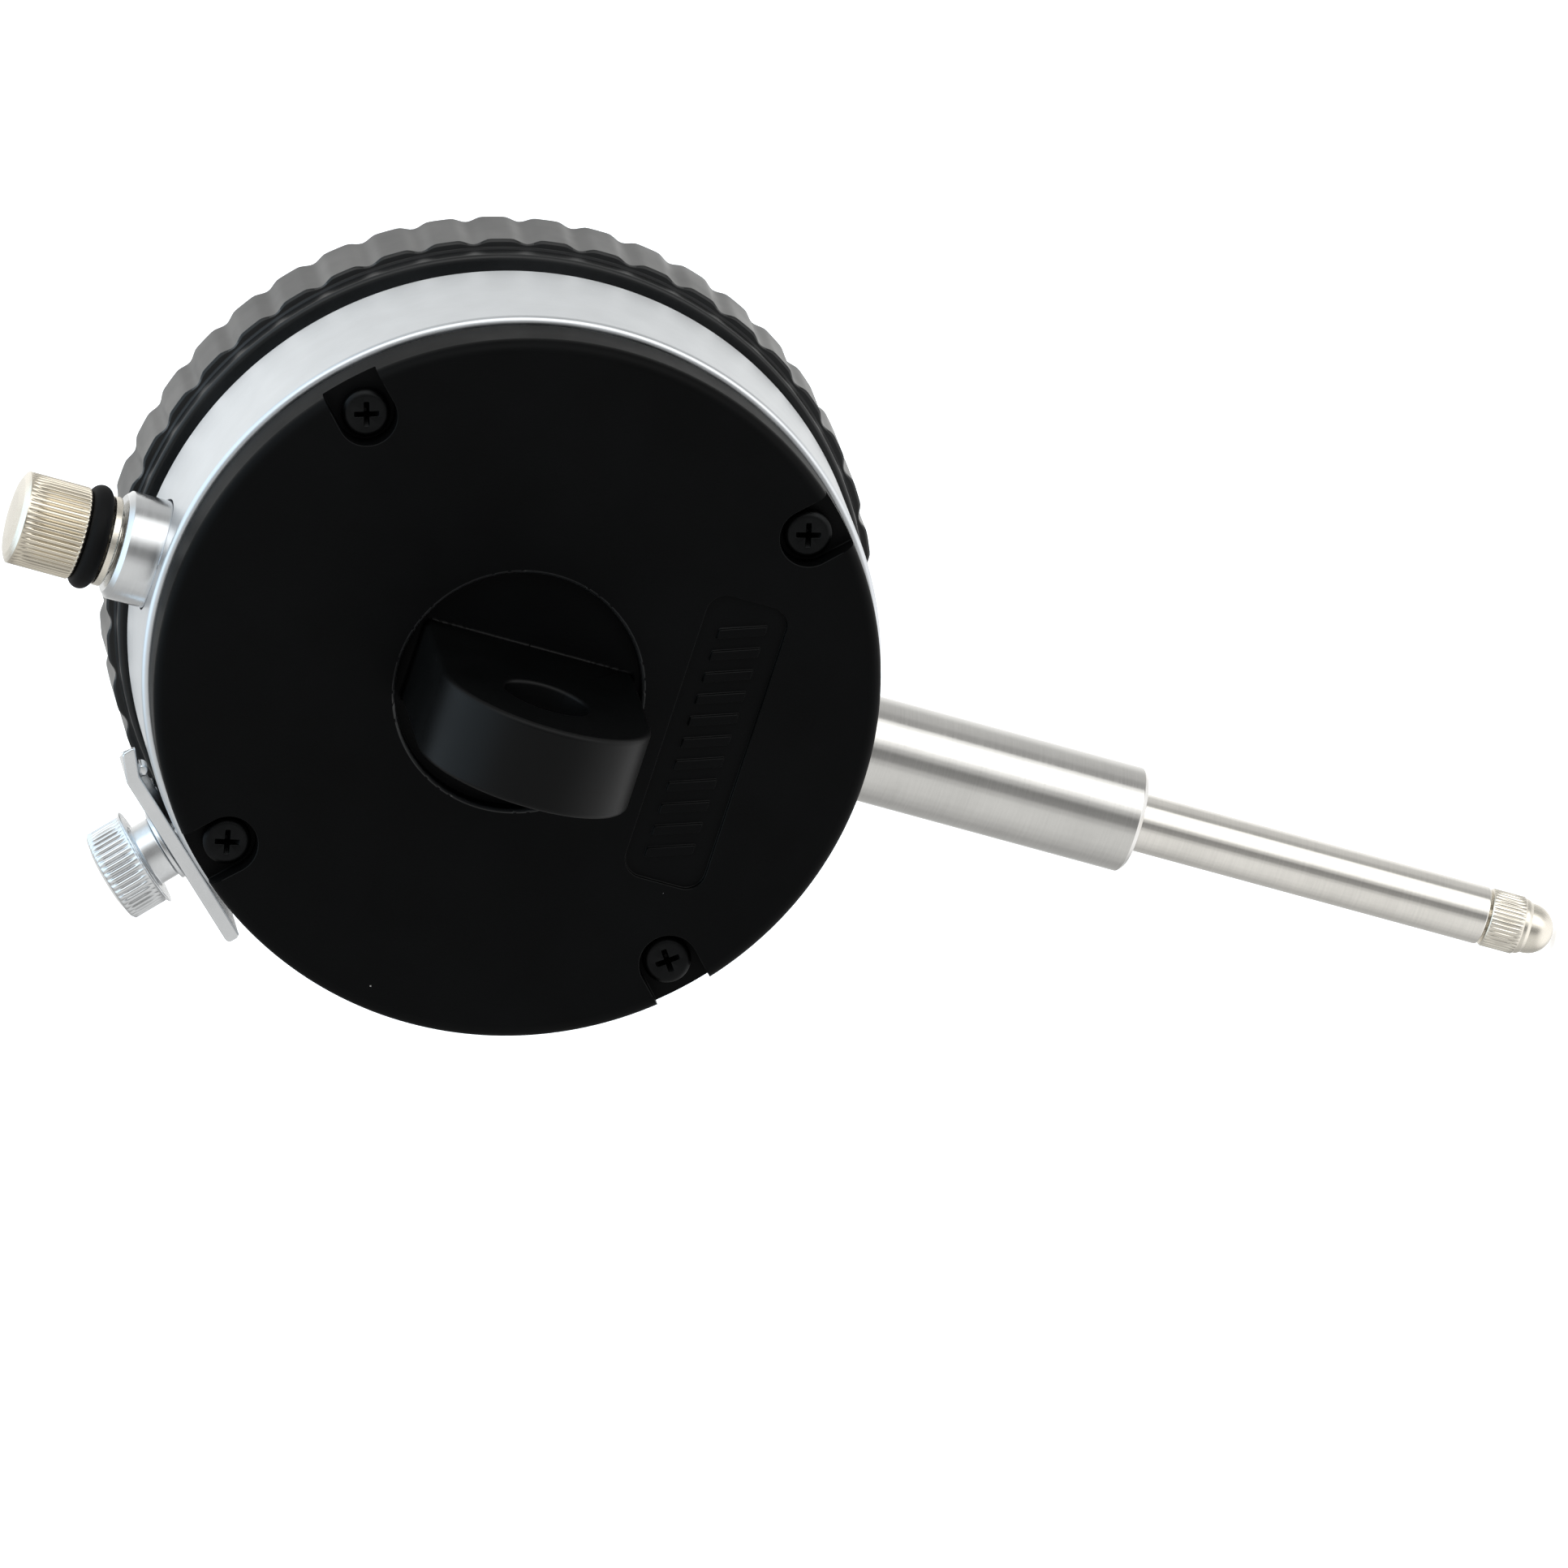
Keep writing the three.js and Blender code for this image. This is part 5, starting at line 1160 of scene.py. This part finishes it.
def make_floor():
    """A wide pale floor just under the object, in metres."""
    paint = Paint("pale_floor", 0.75, specular=0.2)
    cloud = paint.noise(2.0, detail=2)
    paint.colour(paint.ramp(cloud, [(0.3, (0.86, 0.86, 0.86)), (0.7, (0.9, 0.9, 0.9))]))
    paint.shader.inputs["Emission Color"].default_value = (1, 1, 1, 1)
    paint.shader.inputs["Emission Strength"].default_value = 0.4
    paint.bump(paint.noise(900), 0.1, 0.05)
    bm = bmesh.new()
    corners = ((-1, -1), (1, -1), (1, 1), (-1, 1))
    bm.faces.new([bm.verts.new((u * FLOOR_HALF, v * FLOOR_HALF, FLOOR_Z)) for u, v in corners])
    floor = named_object("floor", bm)
    if floor.data.polygons[0].normal.z < 0:
        floor.data.flip_normals()
    floor.data.materials.append(paint.material)
    floor.visible_glossy = False


make_floor()


def make_world():
    """A pale studio whose reflection is dark where the viewer stands behind the indicator."""
    world = bpy.data.worlds.new("studio")
    bpy.context.scene.world = world
    world.use_nodes = True
    nodes, links = world.node_tree.nodes, world.node_tree.links
    nodes.clear()

    def add(kind, operation=None, **values):
        node = nodes.new(kind)
        if operation:
            node.operation = operation
        for key, value in values.items():
            node.inputs[int(key[1:])].default_value = value
        return node

    def feed(output, node, index):
        links.new(output, node.inputs[index])
        return node

    direction = nodes.new("ShaderNodeTexCoord").outputs["Generated"]
    split = feed(direction, nodes.new("ShaderNodeSeparateXYZ"), 0)
    # turn round Z from -Y, so that 0.5 is +Y and 0 and 1 are -Y
    flip = feed(split.outputs["X"], add("ShaderNodeMath", "MULTIPLY", _1=-1.0), 0)
    angle = add("ShaderNodeMath", "ARCTAN2")
    feed(flip.outputs[0], angle, 0)
    feed(split.outputs["Y"], angle, 1)
    share = add("ShaderNodeMath", "MULTIPLY_ADD", _1=1 / TAU, _2=0.5)
    feed(angle.outputs[0], share, 0)
    ramp = nodes.new("ShaderNodeValToRGB")
    ramp.color_ramp.interpolation = "EASE"
    elements = ramp.color_ramp.elements
    for k, (spot, level) in enumerate(WORLD_BANDS):
        element = elements[k] if k < 2 else elements.new(spot)
        element.position = spot
        element.color = (*tinted(DAYLIGHT, level), 1)
    feed(share.outputs[0], ramp, 0)
    # toward the poles the bands give way to two plain colours
    rise = feed(split.outputs["Z"], add("ShaderNodeMath", "ABSOLUTE"), 0)
    polar = add("ShaderNodeMapRange", _1=0.55, _2=0.95, _3=0.0, _4=1.0)
    polar.interpolation_type = "SMOOTHSTEP"
    feed(rise.outputs[0], polar, 0)
    blend = nodes.new("ShaderNodeMix")
    blend.data_type = "RGBA"
    feed(polar.outputs[0], blend, 0)
    feed(ramp.outputs[0], blend, MIX_A)
    high = feed(split.outputs["Z"], add("ShaderNodeMath", "GREATER_THAN", _1=0.0), 0)
    pole = nodes.new("ShaderNodeMix")
    pole.data_type = "RGBA"
    feed(high.outputs[0], pole, 0)
    pole.inputs[MIX_A].default_value = (*POLE_BELOW, 1)
    pole.inputs[MIX_B].default_value = (*POLE_ABOVE, 1)
    feed(pole.outputs[MIX_RESULT], blend, MIX_B)
    lit = feed(blend.outputs[MIX_RESULT], add("ShaderNodeBackground"), 0)
    seen = add("ShaderNodeBackground")
    seen.inputs[0].default_value = (1, 1, 1, 1)
    seen.inputs[1].default_value = 1.0
    path = nodes.new("ShaderNodeLightPath")
    mix = nodes.new("ShaderNodeMixShader")
    links.new(path.outputs["Is Camera Ray"], mix.inputs[0])
    links.new(lit.outputs[0], mix.inputs[1])
    links.new(seen.outputs[0], mix.inputs[2])
    out = nodes.new("ShaderNodeOutputWorld")
    links.new(mix.outputs[0], out.inputs["Surface"])


DAYLIGHT = (1.0, 1.0, 0.985)
POLE_ABOVE = (1.25, 1.5, 1.7)
POLE_BELOW = (1.3, 1.3, 1.3)
# Brightness round Z: 0 and 1 are -Y, 0.25 is +X, 0.5 is +Y and 0.75 is -X.
WORLD_BANDS = [
    (0.0, 1.2), (0.06, 0.85), (0.13, 0.5), (0.21, 0.47), (0.26, 0.57), (0.31, 0.68), (0.36, 0.77),
    (0.42, 0.8), (0.45, 0.78), (0.48, 0.6), (0.51, 0.32), (0.545, 0.28), (0.575, 0.62), (0.605, 1.2),
    (0.635, 2.0), (0.67, 2.3), (0.70, 2.0), (0.735, 1.2), (0.755, 0.45), (0.78, 0.45), (0.825, 0.6),
    (0.87, 0.65), (0.95, 1.0), (1.0, 1.2),
]
make_world()


def softbox(name, location, size, power):
    """A square lamp turned to the origin. The metals show the world and not the lamps."""
    light = bpy.data.lights.new(name, "AREA")
    light.shape = "RECTANGLE"
    light.size = light.size_y = size
    light.energy = power
    made = bpy.data.objects.new(name, light)
    bpy.context.scene.collection.objects.link(made)
    made.location = location
    made.rotation_mode = "QUATERNION"
    made.rotation_quaternion = (-Vector(location)).to_track_quat("-Z", "Y")
    made.visible_glossy = False


softbox("overhead", (-0.9, -0.3, 0.5), 0.7, 3.0)
softbox("front_fill", (0.5, -1.2, 0.7), 0.8, 3.0)
softbox("top_soft", (0.1, 0.1, 1.5), 1.0, 5.0)

bpy.context.scene.view_settings.view_transform = "Standard"
bpy.context.scene.view_settings.look = "None"
